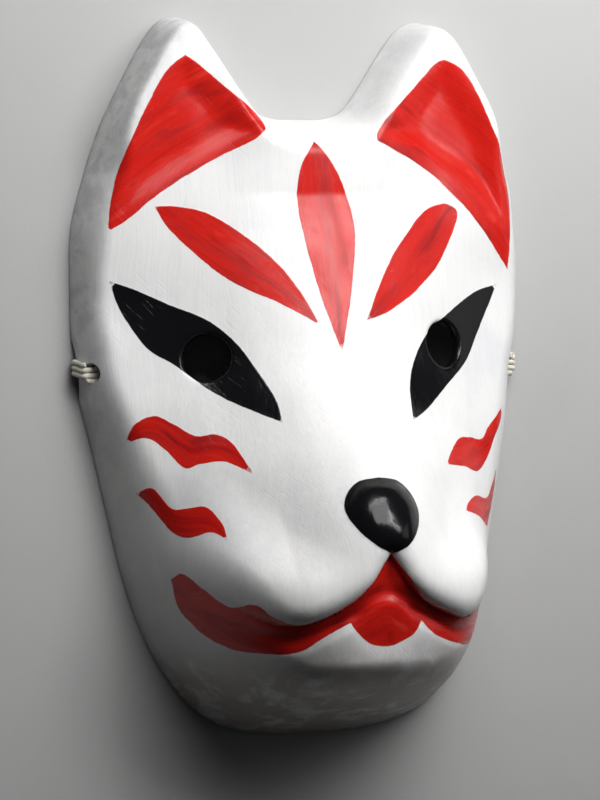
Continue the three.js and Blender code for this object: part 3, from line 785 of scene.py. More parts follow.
# %% Eye holes
HOLE_SIDES = 96
PUPIL_DIAMETER = 15.2
PUPILS = [(-42.8, 6.7), (42.4, 9.8)]
LIP = [(2.0, 0), (1.4, 0.03), (0.95, 0.12), (0.5, 0.36), (0.18, 0.75), (0, 1.3)]  # out, depth


def axis_at(x, y, reach=6):
    def height(px, py):
        return float(outer_height(np.array([px]), np.array([py]))[0])

    slope_x = (height(x + reach, y) - height(x - reach, y)) / (2 * reach)
    slope_y = (height(x, y + reach) - height(x, y - reach)) / (2 * reach)
    axis = np.array([-slope_x, -slope_y, 1])
    return axis / np.linalg.norm(axis), np.array([x, y, height(x, y)])


def bore_ring(axis, centre, radius, height_at):
    side = np.cross(axis, (0, 1, 0))
    side /= np.linalg.norm(side)
    other = np.cross(axis, side)
    angles = 2 * np.pi * np.arange(HOLE_SIDES) / HOLE_SIDES
    ring = centre + radius * (np.outer(np.cos(angles), side) + np.outer(np.sin(angles), other))
    for _ in range(20):
        ring += 0.8 * np.outer(height_at(ring[:, 0], ring[:, 1]) - ring[:, 2], axis)
    return ring


eye_holes = []
for pupil in PUPILS:
    axis, centre = axis_at(*pupil)
    outer_rings = [bore_ring(axis, centre, PUPIL_DIAMETER / 2 + out, outer_height) - depth * axis
                   for out, depth in LIP]
    inner_ring = bore_ring(axis, centre, PUPIL_DIAMETER / 2, hollow_height)
    eye_holes.append((outer_rings, inner_ring))
    print("eye hole leans", round(math.degrees(math.acos(axis[2]))), "degrees")

# %% [markdown]
# The field of triangles. Points that lie too close to an edge line are left out, so that no
# slivers form beside it.

# %% Points of a field
def near_lines(lines, gap):
    """Cuts lines to even steps and keeps one point in each small square."""
    kept = {}
    for line in lines:
        closes = np.linalg.norm(line[0] - line[-1]) < 12
        for spot in even_steps(np.vstack([line, line[:1]]) if closes else line, gap):
            kept.setdefault(tuple(np.round(spot / (0.6 * gap)).astype(int)), spot)
    return np.array(list(kept.values()))


def even_spread(spacing):
    columns = np.arange(-WIDTH / 2, WIDTH / 2, spacing)
    rows = np.arange(-HEIGHT / 2, HEIGHT / 2, 0.866 * spacing)
    return np.vstack([np.column_stack([columns + (k % 2) * spacing / 2, np.full(len(columns), y)])
                      for k, y in enumerate(rows)])


def apart(points, others, gap):
    """Points that are at least gap away from all others."""
    tree = KDTree(len(others))
    for i, (x, y) in enumerate(others):
        tree.insert((x, y, 0), i)
    tree.balance()
    return np.array([spot for spot in points if tree.find((*spot, 0))[2] >= gap])


def field(border, holes, points, gap, into, height_at):
    """Fills the plan inside a border and outside the holes with triangles through the points.
    The border and each hole are a ring of point numbers and the same ring in the plan."""
    inside = inside_by(border[1], points[:, 0], points[:, 1]) > 0.5 * gap
    for hole in holes:
        inside &= inside_by(hole[1], points[:, 0], points[:, 1]) < -0.5 * gap
    points = points[inside]
    rings = [border, *holes]
    numbers = np.concatenate([ring[0] for ring in rings] + [put(raised(points, height_at))])
    plan = np.vstack([ring[1] for ring in rings] + [points])
    edges, start = [], 0
    for ring, _ in rings:
        edges += [(start + k, start + (k + 1) % len(ring)) for k in range(len(ring))]
        start += len(ring)
    found = delaunay_2d_cdt([Vector(spot) for spot in plan], edges, [], 0, 1e-7, True)
    source = [rows[0] for rows in found[3]]
    triangles = np.array([[source[k] for k in corner] for corner in found[2]])
    middle = plan[triangles].mean(1)
    keep = inside_by(border[1], middle[:, 0], middle[:, 1]) > 0
    for hole in holes:
        keep &= inside_by(hole[1], middle[:, 0], middle[:, 1]) < 0
    into.extend(tuple(int(numbers[k]) for k in corner) for corner in triangles[keep])
    print("field:", len(points), "points,", int(keep.sum()), "triangles")


# %% [markdown]
# The rim's edge is turned over and rounded, as damp paper is when it is pressed round the mould.
# It stays on the table: the lowest ring lies at zero.

# %% Outside, rim and hollow
OUTER_INSETS = [0.28, 0.55, 0.85, 1.2, 1.6, 2.05, 2.6, 3.2, 3.9, 4.7, 5.6]
RIM_EDGE = [(0.15, 0.3), (0.3, 0.08), (0.62, 0), (1.2, 0), (2.2, 0), (2.5, 0.12)]
INNER_INSETS = [2.75, 3.1, 3.6, 4.3, 5.2, 6.2]
FINE, MEDIUM, COARSE = 0.95, 1.35, 2.3  # spacing of points on the muzzle, the face, the hollow
ON_LINES = 0.9  # spacing of the points along edges of forms and marks

outer_rings = [put(raised(inset_ring(inset), outer_height)) for inset in OUTER_INSETS]
for ring_a, ring_b in zip(outer_rings, outer_rings[1:]):
    band(ring_a, ring_b, faces)
edge_rings = [put(np.column_stack([inset_ring(inset), np.full(len(RIM), z)]))
              for inset, z in RIM_EDGE]
inner_rings = [put(raised(inset_ring(inset), hollow_height)) for inset in INNER_INSETS]
for ring_a, ring_b in zip([outer_rings[0], *edge_rings], edge_rings):
    band(ring_a, ring_b, faces)
for ring_a, ring_b in zip([edge_rings[-1], *inner_rings], inner_rings):
    band(ring_a, ring_b, inner_faces)

lips, bore_ends = [], []
for outer, inner in eye_holes:
    numbers = [put(ring) for ring in outer]
    for ring_a, ring_b in zip(numbers, numbers[1:]):
        band(ring_a, ring_b, faces)
    end = put(inner)
    band(numbers[-1], end, faces)
    lips.append((numbers[0], outer[0][:, :2]))
    bore_ends.append((end, inner[:, :2]))
print("bands:", len(faces) + len(inner_faces), "faces")

# %% Fields of the face and the hollow
OTHER_SIDE = np.array([-1, 1])
NOSE_MIDDLE = np.array([0, -45])
form_lines = [NOSE, UPPER, LOWER, UPPER * OTHER_SIDE, LOWER * OTHER_SIDE, EAR, EAR * OTHER_SIDE]
for lift in (0.5, 1.2, 2.4, 4):
    form_lines += [UPPER + (0, lift), UPPER * OTHER_SIDE + (0, lift)]
for share in (0.96, 0.88, 0.75, 0.55):
    form_lines.append((NOSE - NOSE_MIDDLE) * share + NOSE_MIDDLE)
mark_lines = [before_pull(outline) for outline in [*RED.values(), *BLACK.values()]]
edge_points = near_lines(form_lines + mark_lines, ON_LINES)


def on_muzzle(points):
    return (np.abs(points[:, 0]) < 56) & (points[:, 1] < -26)


wide, tight = even_spread(MEDIUM), even_spread(FINE)
spread = np.vstack([tight[on_muzzle(tight)], wide[~on_muzzle(wide)]])
face_points = np.vstack([edge_points, apart(spread, edge_points, 0.55)])
field((outer_rings[-1], inset_ring(OUTER_INSETS[-1])), lips, face_points, 0.9, faces,
      outer_height)
field((inner_rings[-1], inset_ring(INNER_INSETS[-1])), bore_ends, even_spread(COARSE), 1.6,
      inner_faces, hollow_height)

shell = object_from("fox_face", pulled(np.vstack(spots)), faces + inner_faces)
shell.data.polygons.foreach_set("material_index", [0] * len(faces) + [1] * len(inner_faces))
work = bmesh.new()
work.from_mesh(shell.data)
bmesh.ops.recalc_face_normals(work, faces=work.faces)
open_edges = sum(not edge.is_manifold for edge in work.edges)
work.to_mesh(shell.data)
work.free()
print("shell:", len(shell.data.polygons), "faces,", open_edges, "open edges")

# %% [markdown]
# The two holes for the cord, and the shallow arches in the rim under the windings, are cut with
# a boolean. They cross the steep bands, where a boolean is simpler than a mesh that has the
# holes in it from the start.

# %% Holes and arches for the cord
CORD_HOLE_DIAMETER = 6.6
CUTTER_X = WIDTH / 2 - 5
CUTTER_LENGTH = 16
ARCH_RADIUS = 24
ARCH_SHIFT = 1.2  # towards the ears, under the leaning turns
ARCH_EXTRA = 0.3
SHARP_FROM = 55  # degrees between two faces


def cylinder_across(x, y, z, radius, sides):
    mesh = bpy.data.meshes.new("cutter")
    work = bmesh.new()
    place = Matrix.Translation(Vector((x, y, z)) * MM) @ Matrix.Rotation(math.pi / 2, 4, "Y")
    bmesh.ops.create_cone(work, cap_ends=True, segments=sides, radius1=radius * MM,
                          radius2=radius * MM, depth=CUTTER_LENGTH * MM, matrix=place)
    work.to_mesh(mesh)
    work.free()
    return put_in_scene("cutter", mesh)


for side in (-1, 1):
    x = side * CUTTER_X
    arch_z = RIM_ARCH_HEIGHT + ARCH_EXTRA - ARCH_RADIUS
    for cutter in (
            cylinder_across(x, CORD_HOLE_Y, CORD_HOLE_Z, CORD_HOLE_DIAMETER / 2, 48),
            cylinder_across(x, CORD_HOLE_Y + ARCH_SHIFT, arch_z, ARCH_RADIUS, 240)):
        cut = shell.modifiers.new("cut", "BOOLEAN")
        cut.operation = "DIFFERENCE"
        cut.solver = "EXACT"
        cut.object = cutter
        evaluated = shell.evaluated_get(bpy.context.evaluated_depsgraph_get())
        mesh = bpy.data.meshes.new_from_object(evaluated)
        shell.modifiers.clear()
        shell.data = mesh
        bpy.data.objects.remove(cutter)
shell.data.name = "fox_face"
shell.data.polygons.foreach_set("use_smooth", [True] * len(shell.data.polygons))
shell.data.set_sharp_from_angle(angle=math.radians(SHARP_FROM))
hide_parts("mask_shell")
print("shell with cord holes:", len(shell.data.polygons), "faces")

# %% [markdown]
# ## What the paint needs to know
# The marks are only colour, so they belong in the material. The shader has to know how far each
# point lies inside or outside the nearest mark, and where it lies along the brush's run. Both are
# worked out here for every point of the mesh and kept as attributes. The shader reads them
# between the points too, so an edge comes out far finer than the mesh. A painted image would do
# the same, but its pixels would show in a close view.

# %% Distance into the marks and place along the brush
FAR = -5.0  # mm outside a mark, where it no longer matters
NEXT_MARK = 97.0  # mm between the runs of two marks, so that no two look alike


def along_and_off(line, x, y):
    """Where many points lie along a line, and how far to its left, in millimetres."""
    run = run_lengths(line)
    nearest = np.full(len(x), 1e9)
    place, off = np.zeros(len(x)), np.zeros(len(x))
    for start, (ax, ay), (bx, by) in zip(run, line[:-1], line[1:]):
        dx, dy = bx - ax, by - ay
        length = math.hypot(dx, dy) or 1
        s = np.clip(((x - ax) * dx + (y - ay) * dy) / length ** 2, 0, 1)
        gap_x, gap_y = x - ax - s * dx, y - ay - s * dy
        distance = np.hypot(gap_x, gap_y)
        closer = distance < nearest
        nearest[closer] = distance[closer]
        place[closer] = (start + s * length)[closer]
        off[closer] = (np.sign(gap_y * dx - gap_x * dy) * distance)[closer]
    return place, off


def paint_map(marks, brushes, x, y):
    """Distance into the nearest mark, and the brush's place there: off, along, number."""
    depth = np.full(len(x), FAR)
    stroke = np.zeros((len(x), 3))
    for number, (name, outline) in enumerate(marks.items()):
        low, high = outline.min(0) + FAR, outline.max(0) - FAR
        near = np.flatnonzero((x > low[0]) & (x < high[0]) & (y > low[1]) & (y < high[1]))
        distance = inside_by(outline, x[near], y[near])
        mine = distance > depth[near]
        near, distance = near[mine], distance[mine]
        depth[near] = distance
        if name in brushes:
            place, off = along_and_off(brushes[name], x[near], y[near])
            stroke[near] = np.column_stack([off, place + NEXT_MARK * number,
                                            np.full(len(near), float(number))])
    return depth, stroke


places = np.empty(3 * len(shell.data.vertices))
shell.data.vertices.foreach_get("co", places)
places = places.reshape(-1, 3) / MM
x, y = places[:, 0], places[:, 1]
red_depth, stroke = paint_map(RED, BRUSHED, x, y)
black_depth, _ = paint_map(BLACK, {}, x, y)
store(shell.data, "red_depth", red_depth)
store(shell.data, "black_depth", black_depth)
edge = pulled(np.column_stack([RIM, np.zeros(len(RIM))]))[:, :2]
store(shell.data, "from_edge", inside_by(edge, x, y))
brush = shell.data.attributes.new("brush", "FLOAT_VECTOR", "POINT")
brush.data.foreach_set("vector", stroke.astype(np.float32).ravel())
print("points in the red:", int((red_depth > 0).sum()), "in the black:",
      int((black_depth > 0).sum()))

# %% [markdown]
# ## Tools for the materials
# A node tree written out in full is long, so a few helpers keep it readable: one adds a node and
# fills its inputs, others do arithmetic, and the last two end a material. The effects that
# several finishes share are node groups: they are built once, and each material places them with
# its own sizes.

# %% Adding nodes
def add(tree, kind, inputs=None, **settings):
    """Adds a shader node; each input is a number, a colour or another node's output."""
    made = tree.nodes.new("ShaderNode" + kind)
    for name, value in settings.items():
        setattr(made, name, value)
    for socket, value in (inputs or {}).items():
        if isinstance(value, bpy.types.NodeSocket):
            tree.links.new(value, made.inputs[socket])
        else:
            made.inputs[socket].default_value = value
    return made


def maths(tree, operation, *values):
    return add(tree, "Math", dict(enumerate(values)), operation=operation).outputs[0]


def times(tree, a, b):
    return maths(tree, "MULTIPLY", a, b)


def vector_maths(tree, operation, *values):
    return add(tree, "VectorMath", dict(enumerate(values)), operation=operation).outputs[0]


def scaled(tree, vector, sizes):
    return vector_maths(tree, "MULTIPLY", vector, sizes)


def between(tree, value, low, high, out_low=0.0, out_high=1.0):
    """A soft ramp from one value to another."""
    inputs = {"Value": value, "From Min": low, "From Max": high,
              "To Min": out_low, "To Max": out_high}
    return add(tree, "MapRange", inputs, interpolation_type="SMOOTHSTEP").outputs["Result"]


def blend(tree, share, color_a, color_b):
    mix = add(tree, "Mix", {0: share}, data_type="RGBA")
    for socket, value in ((6, color_a), (7, color_b)):
        if isinstance(value, bpy.types.NodeSocket):
            tree.links.new(value, mix.inputs[socket])
        else:
            mix.inputs[socket].default_value = (*value, 1)
    return mix.outputs[2]


def mixed_numbers(tree, share, a, b):
    return add(tree, "Mix", {0: share, 2: a, 3: b}).outputs[0]


def turned_in_plan(tree, vector, angle):
    return add(tree, "VectorRotate", {"Vector": vector, "Angle": angle},
               rotation_type="Z_AXIS").outputs[0]


def noise(tree, vector, scale, detail=2.0, roughness=0.5, distortion=0.0):
    inputs = {"Vector": vector, "Scale": scale, "Detail": detail, "Roughness": roughness,
              "Distortion": distortion}
    return add(tree, "TexNoise", inputs).outputs["Fac"]


def new_group(name, inputs, outputs):
    """An empty node group, with its inside ends: a dictionary of each."""
    tree = bpy.data.node_groups.new(name, "ShaderNodeTree")
    for label, default in inputs.items():
        kind = "NodeSocketVector" if default is None else "NodeSocketFloat"
        socket = tree.interface.new_socket(label, in_out="INPUT", socket_type=kind)
        if default is not None:
            socket.default_value = default
    for label in outputs:
        tree.interface.new_socket(label, in_out="OUTPUT", socket_type="NodeSocketFloat")
    start, end = tree.nodes.new("NodeGroupInput"), tree.nodes.new("NodeGroupOutput")
    return tree, start.outputs, end.inputs


def use(tree, group, **inputs):
    """Places a group in a material; spaces in socket names are written as underscores."""
    made = add(tree, "Group", node_tree=group)
    for name, value in inputs.items():
        socket = made.inputs[name.replace("_", " ")]
        if isinstance(value, bpy.types.NodeSocket):
            tree.links.new(value, socket)
        else:
            socket.default_value = value
    return made.outputs


def bumped(tree, relief, parts=()):
    """A normal from a relief in millimetres, with parts that have a height each."""
    for part, height in parts:
        relief = maths(tree, "MULTIPLY_ADD", part, height, relief)
    return add(tree, "Bump", {"Strength": 1.0, "Distance": MM, "Height": relief}).outputs[0]


def finish(tree, **outputs):
    """Links outputs to the shader, and gives back its sockets."""
    shader = tree.nodes["Principled BSDF"].inputs
    for name, output in outputs.items():
        tree.links.new(output, shader[name.replace("_", " ")])
    return shader


print("helpers:", ", ".join(helper.__name__ for helper in (
    add, maths, times, vector_maths, scaled, between, blend, mixed_numbers, turned_in_plan,
    noise, new_group, use, bumped, finish)))

# %% [markdown]
# "Brush marks" are the fine ridges that bristles leave: noise that is short across the brush and
# long along it. The first direction of its vector is across the brush. A slow wander bends the
# lines, because an arm doesn't move like a ruler.

# %% Group: brush marks
brush_marks, given, result = new_group(
    "brush marks", {"Vector": None, "Spacing": 0.7, "Length": 25.0, "Wander": 2.0}, ["Marks"])
slow = noise(brush_marks, given["Vector"], 0.03, 1)
sway = times(brush_marks, maths(brush_marks, "SUBTRACT", slow, 0.5),
             given["Wander"])
moved = vector_maths(brush_marks, "ADD", given["Vector"],
                     add(brush_marks, "CombineXYZ", {"X": sway, "Z": sway}).outputs[0])
cell = add(brush_marks, "CombineXYZ", {"X": given["Spacing"], "Y": given["Length"],
                                       "Z": given["Spacing"]}).outputs[0]
stretched = vector_maths(brush_marks, "DIVIDE", moved, cell)
bristles = noise(brush_marks, stretched, 0.8, 2, 0.6)
bundles = noise(brush_marks, stretched, 0.23, 1)
both = maths(brush_marks, "ADD", times(brush_marks, bristles, 0.6),
             times(brush_marks, bundles, 0.4))
brush_marks.links.new(between(brush_marks, both, 0.34, 0.66), result["Marks"])
print("group:", brush_marks.name)

# %% [markdown]
# "Hand built lumps" are what layers of wet paper leave under any paint: soft unevenness as wide
# as a finger, and here and there a nib, which is a crumb of pulp or a speck of dust caught in
# the lacquer.

# %% Group: hand built lumps
lumps, given, result = new_group(
    "hand built lumps", {"Vector": None, "Size": 14.0, "Nib Distance": 15.0, "Nib Size": 0.55},
    ["Lumps", "Nibs"])
scale = maths(lumps, "DIVIDE", 1.0, given["Size"])
lumps.links.new(noise(lumps, given["Vector"], scale, 2, 0.45), result["Lumps"])
scale = maths(lumps, "DIVIDE", 1.0, given["Nib Distance"])
crumbs = add(lumps, "TexVoronoi", {"Vector": given["Vector"], "Scale": scale})
away = times(lumps, crumbs.outputs["Distance"], given["Nib Distance"])
chance = add(lumps, "SeparateColor", {0: crumbs.outputs["Color"]}).outputs[0]
radius = times(lumps, given["Nib Size"], between(lumps, chance, 0.45, 1, 0.0, 1.6))
share = maths(lumps, "DIVIDE", away, maths(lumps, "MAXIMUM", radius, 0.001))
lumps.links.new(between(lumps, share, 1, 0.1), result["Nibs"])
print("group:", lumps.name)

# %% [markdown]
# "Soiling" is the grey that hands, dust and years leave. It comes in clouds with frayed edges,
# so it is one noise that decides where, broken up by a finer one.

# %% Group: soiling
soiling, given, result = new_group(
    "soiling", {"Vector": None, "Size": 12.0, "Amount": 0.5}, ["Soil"])
scale = maths(soiling, "DIVIDE", 1.0, given["Size"])
where = noise(soiling, given["Vector"], scale, 4, 0.62, 0.4)
low = maths(soiling, "SUBTRACT", 0.72, times(soiling, given["Amount"], 0.4))
high = maths(soiling, "ADD", low, 0.22)
soiling.links.new(between(soiling, where, low, high), result["Soil"])
print("group:", soiling.name)

# %% [markdown]
# "Painted area" turns the distance into a mark into paint. A hand can't follow a line exactly,
# so the distance wobbles a little before it is cut. The paint also gathers at the edge, which
# gives a thin ridge that catches the light.

# %% Group: painted area
painted_area, given, result = new_group(
    "painted area", {"Vector": None, "Depth": 0.0, "Wobble": 0.4, "Softness": 0.12},
    ["Paint", "Ridge"])
tremor = maths(painted_area, "ADD", noise(painted_area, given["Vector"], 0.16, 1),
               times(painted_area, noise(painted_area, given["Vector"], 0.7, 1), 0.4))
wobble = times(painted_area, maths(painted_area, "SUBTRACT", tremor, 0.7),
               given["Wobble"])
inside = maths(painted_area, "ADD", given["Depth"], wobble)
back_off = times(painted_area, given["Softness"], -1.0)
painted_area.links.new(between(painted_area, inside, back_off, given["Softness"]),
                       result["Paint"])
rise = between(painted_area, inside, -0.15, 0.35)
fall = between(painted_area, inside, 1.3, 0.35)
painted_area.links.new(times(painted_area, rise, fall), result["Ridge"])
print("group:", painted_area.name)

# %% [markdown]
# ## The painted side
# On the real mask the paper is primed with chalk, painted white and lacquered. The white is
# semi-gloss, brushed from ear to chin, rubbed down a little over the brow, and slightly clouded.
# Red and black are thinner and glossier, with the brush's run to be seen in the red. All of it
# is one material, because it is one skin of paint; three materials would need cuts in the mesh
# just where the edge should waver.

# %% Coordinates and masks of the painted side
MILLIMETRES = (1000, 1000, 1000)


def start_material(name):
    made = bpy.data.materials.new(name)
    made.use_nodes = True
    tree = made.node_tree
    at = add(tree, "TexCoord").outputs["Object"]
    return made, tree, scaled(tree, at, MILLIMETRES)


def attribute(tree, name, output="Fac"):
    return add(tree, "Attribute", attribute_name=name).outputs[output]


painted_paper, tree, place = start_material("painted_paper")
red = use(tree, painted_area, Vector=place, Depth=attribute(tree, "red_depth"), Wobble=0.55)
black = use(tree, painted_area, Vector=place, Depth=attribute(tree, "black_depth"), Wobble=0.4)
white_brush = use(tree, brush_marks, Vector=place, Spacing=0.75, Length=22, Wander=9)["Marks"]
stroke = attribute(tree, "brush", "Vector")
red_brush = use(tree, brush_marks, Vector=stroke, Spacing=0.6, Length=26, Wander=1.5)["Marks"]
black_brush = use(tree, brush_marks, Vector=place, Spacing=1.6, Length=7, Wander=6)["Marks"]
uneven = use(tree, lumps, Vector=place, Size=13, Nib_Distance=13, Nib_Size=0.5)
print("painted side:", len(tree.nodes), "nodes so far")

# %% [markdown]
# The white isn't one white. Broad clouds of a bluish grey lie in it, and the brush leaves streaks
# in some of them. Towards the edge it is greyed: in part mottled grime, in part painted shade on
# the left side, which turns away from the light, most towards the ears. The chin is browned, more
# towards its bottom. A few dark specks sit in the lacquer.

# %% White paint
WHITE = (0.80, 0.795, 0.785)
CLOUDED = (0.66, 0.665, 0.70)
# the grey below is both grime and painted shade, laid near the rim on the left side
GREY_GRIME_AND_SHADE = (0.34, 0.34, 0.36)
SPECK = (0.16, 0.12, 0.09)
BROWNED = (0.30, 0.22, 0.17)
# where the grime and the painted shade lie: near the rim, on the left, towards the ears
GRIME_AND_SHADE_EDGE = (12, 1)  # mm from the rim
GRIME_AND_SHADE_X, GRIME_AND_SHADE_Y = (10, -60), (-60, 30)
BROWNED_Y = (-82, -106)

clouds = use(tree, soiling, Vector=place, Size=34, Amount=0.55)["Soil"]
streaks = times(tree, between(tree, white_brush, 0.75, 0.1), 0.5)
cloud_share = times(tree, maths(tree, "ADD", clouds, streaks), 0.4)
white = blend(tree, cloud_share, WHITE, CLOUDED)
from_edge = attribute(tree, "from_edge")
split = add(tree, "SeparateXYZ", {0: place}).outputs
# Painted shade with grime: grey near the rim, strongest on the left side and towards the ears,
# where the face turns away from the light; a grime noise mottles it.
near_edge = between(tree, from_edge, *GRIME_AND_SHADE_EDGE)
grime_and_shade_side = between(tree, split[0], *GRIME_AND_SHADE_X, 0.3, 1.0)
grime_and_shade_side = times(tree, grime_and_shade_side, between(tree, split[1], *GRIME_AND_SHADE_Y, 0.25, 1.0))
grime = use(tree, soiling, Vector=place, Size=8, Amount=0.8)["Soil"]
grime_and_shade_share = times(tree, times(tree, near_edge, grime_and_shade_side),
                   maths(tree, "MULTIPLY_ADD", grime, 0.38, 0.1))
white = blend(tree, grime_and_shade_share, white, GREY_GRIME_AND_SHADE)
# The chin is browned in patches, more towards its bottom.
tone_patches = use(tree, soiling, Vector=place, Size=11, Amount=1.0)["Soil"]
chin = times(tree, between(tree, split[1], *BROWNED_Y), tone_patches)
white = blend(tree, times(tree, chin, 0.62), white, BROWNED)
speck_place = vector_maths(tree, "ADD", place, (31.0, 7.0, 3.0))
specks = use(tree, lumps, Vector=speck_place, Nib_Distance=24, Nib_Size=0.34)["Nibs"]
white = blend(tree, times(tree, specks, 0.8), white, SPECK)
print("white paint:", len(tree.nodes), "nodes so far")

# %% [markdown]
# The red is a thin vermilion. Where the brush carried more, or went over twice, it is a deeper
# crimson: in a streak along the middle of a mark, in patches, and at the ends.

# %% Red and black paint
VERMILION = (0.60, 0.013, 0.008)
CRIMSON = (0.24, 0.003, 0.004)
SCARLET = (0.74, 0.05, 0.035)
BLACK_PAINT = (0.005, 0.005, 0.006)

PATCH = (0.16, 0.045, 1.0)  # waves for each mm across, along, and between the marks
RUN = (0.5, 0.05, 1.0)
STREAK_WIDTH = (2.4, 0.2)  # mm from the middle of a mark, from no streak to the full one
patches = noise(tree, scaled(tree, stroke, PATCH), 1.0, 3, 0.55, 0.6)
deep = between(tree, patches, 0.5, 0.72)
off_middle = maths(tree, "ABSOLUTE", add(tree, "SeparateXYZ", {0: stroke}).outputs[0])
middle = between(tree, off_middle, *STREAK_WIDTH)
run = noise(tree, scaled(tree, stroke, RUN), 1.0, 2)
centre_streak = times(tree, middle, between(tree, run, 0.42, 0.62))
bristle_lines = between(tree, red_brush, 0.25, 0.95)
deep = maths(tree, "ADD", times(tree, deep, 0.5),
             times(tree, centre_streak, 0.45))
deep = maths(tree, "ADD", deep, times(tree, bristle_lines, 0.22))
thin = between(tree, patches, 0.42, 0.28, 0.0, 0.55)
red_paint = blend(tree, thin, VERMILION, SCARLET)
red_paint = blend(tree, maths(tree, "MINIMUM", deep, 1.0), red_paint, CRIMSON)
colour = blend(tree, red["Paint"], white, red_paint)
colour = blend(tree, black["Paint"], colour, BLACK_PAINT)
print("red and black paint:", len(tree.nodes), "nodes so far")

# %% [markdown]
# The gloss differs from paint to paint, and so does the relief. Heights are in millimetres, and
# the bump node turns them into metres. The black is the glossiest and went on thickest, so its
# brush marks break up the sheen on the nose. The rubbed places are two sets of fine scratches
# that cross.

# %% Gloss and relief of the painted side
WHITE_ROUGH, RED_ROUGH, BLACK_ROUGH = 0.40, 0.26, 0.17
LACQUER_IOR = 1.5
SCRATCH = (1.9, 0.07, 0.3)  # waves for each mm


def scratches(tree, place, turn):
    """Fine parallel scratches, in patches, turned in the plan."""
    turned = turned_in_plan(tree, place, turn)
    lines = noise(tree, scaled(tree, turned, SCRATCH), 1.0, 1)
    patch = between(tree, noise(tree, turned, 0.045, 1), 0.48, 0.64)
    return times(tree, between(tree, lines, 0.6, 0.7), patch)


white_rough = between(tree, clouds, 0, 1, WHITE_ROUGH, WHITE_ROUGH + 0.07)
white_rough = maths(tree, "ADD", white_rough, times(tree, grime_and_shade_share, 0.3))
red_rough = between(tree, patches, 0.35, 0.7, RED_ROUGH - 0.05, RED_ROUGH + 0.08)
rough = mixed_numbers(tree, red["Paint"], white_rough, red_rough)
rough = mixed_numbers(tree, black["Paint"], rough, BLACK_ROUGH)

paint = maths(tree, "MAXIMUM", red["Paint"], black["Paint"])
bare_white = maths(tree, "SUBTRACT", 1.0, paint)
normal = bumped(tree, times(tree, uneven["Lumps"], 0.16), (
    (times(tree, white_brush, bare_white), 0.024),
    (times(tree, red_brush, red["Paint"]), 0.010),
    (times(tree, black_brush, black["Paint"]), 0.035),
    (uneven["Nibs"], 0.10), (specks, 0.05), (paint, 0.03),
    (red["Ridge"], 0.018), (black["Ridge"], 0.03),
    (scratches(tree, place, 0.55), -0.022), (scratches(tree, place, -0.75), -0.022)))
shader = finish(tree, Base_Color=colour, Roughness=rough, Normal=normal)
shader["IOR"].default_value = LACQUER_IOR
print("painted side:", len(tree.nodes), "nodes")

# %% [markdown]
# ## The bare side
# Inside, such a mask is plain paper: torn strips of soft brown and off-white paper, pasted over
# each other in all directions, each with a lighter frayed edge, and a little darkened by use.
# Two layers of stretched cells make the strips. The cells' own edges are straight, so noise bends
# them into torn ones.

# %% Strips of pasted paper
KRAFT, PALE_PULP, OLD_PASTE = (0.40, 0.29, 0.185), (0.56, 0.49, 0.39), (0.24, 0.165, 0.10)

FRAY = 3.0  # how far a torn edge strays, in mm

bare_paper, tree, place = start_material("bare_paper")
fray = add(tree, "TexNoise", {"Vector": place, "Scale": 0.35, "Detail": 4.0})
bend = scaled(tree, vector_maths(tree, "SUBTRACT", fray.outputs["Color"], 3 * (0.5,)), 3 * (FRAY,))
torn = vector_maths(tree, "ADD", place, bend)


def strips(turn, size):
    """One layer of strips: each strip's own tone, and the nearness of its torn edge."""
    turned = turned_in_plan(tree, torn, turn)
    flat = scaled(tree, turned, (1 / size, 0.4 / size, 0.5 / size))
    tone = add(tree, "TexVoronoi", {"Vector": flat, "Scale": 1.0}).outputs["Color"]
    rim = add(tree, "TexVoronoi", {"Vector": flat, "Scale": 1.0}, feature="DISTANCE_TO_EDGE")
    return (add(tree, "SeparateColor", {0: tone}).outputs[0],
            between(tree, rim.outputs["Distance"], 0.07, 0.01))


tone_a, rim_a = strips(0.5, 20)
tone_b, rim_b = strips(-0.9, 27)
fibres = use(tree, brush_marks, Vector=torn, Spacing=0.35, Length=5, Wander=14)["Marks"]
ripple = use(tree, lumps, Vector=place, Size=9, Nib_Distance=8, Nib_Size=0.5)
worn = use(tree, soiling, Vector=place, Size=26, Amount=0.7)["Soil"]
paper = blend(tree, maths(tree, "MULTIPLY_ADD", tone_a, 0.6, 0.1), KRAFT, PALE_PULP)
paper = blend(tree, times(tree, between(tree, tone_b, 0.5, 0.6), 0.35),
              paper, PALE_PULP)
torn_rim = maths(tree, "MAXIMUM", rim_a, times(tree, rim_b, 0.7))
paper = blend(tree, times(tree, torn_rim, 0.45), paper, PALE_PULP)
paper = blend(tree, times(tree, fibres, 0.22), paper, OLD_PASTE)
paper = blend(tree, times(tree, worn, 0.4), paper, OLD_PASTE)
print("bare side:", len(tree.nodes), "nodes so far")

# %% Relief of the bare side
normal = bumped(tree, times(tree, ripple["Lumps"], 0.7), (
    (tone_a, 0.18), (tone_b, 0.14), (torn_rim, 0.08), (fibres, 0.04), (ripple["Nibs"], 0.15)))
finish(tree, Base_Color=paper, Roughness=between(tree, worn, 0, 1, 0.86, 0.68), Normal=normal)
shell.data.materials.clear()
for material in (painted_paper, bare_paper):
    shell.data.materials.append(material)
print("bare side:", len(tree.nodes), "nodes")

# %% [markdown]
# ## The braid of the elastic
# Round elastic is a rubber core in a braid of cotton or polyester yarn. The yarns run round the
# cord both ways and pass over and under each other. Two slanted waves, one for each way, give
# that: where one is over, the other is under. They need to know how far along and how far round
# the cord they are, which is why the tubes carry those two attributes.

# %% Braided elastic
YARNS = 8
PITCH = 3.4  # mm along the cord for one yarn to go round once
SHEEN, SHEEN_ROUGH = 0.25, 0.4
CREAM, SHADED, SOILED = (0.80, 0.765, 0.66), (0.47, 0.42, 0.33), (0.42, 0.38, 0.31)

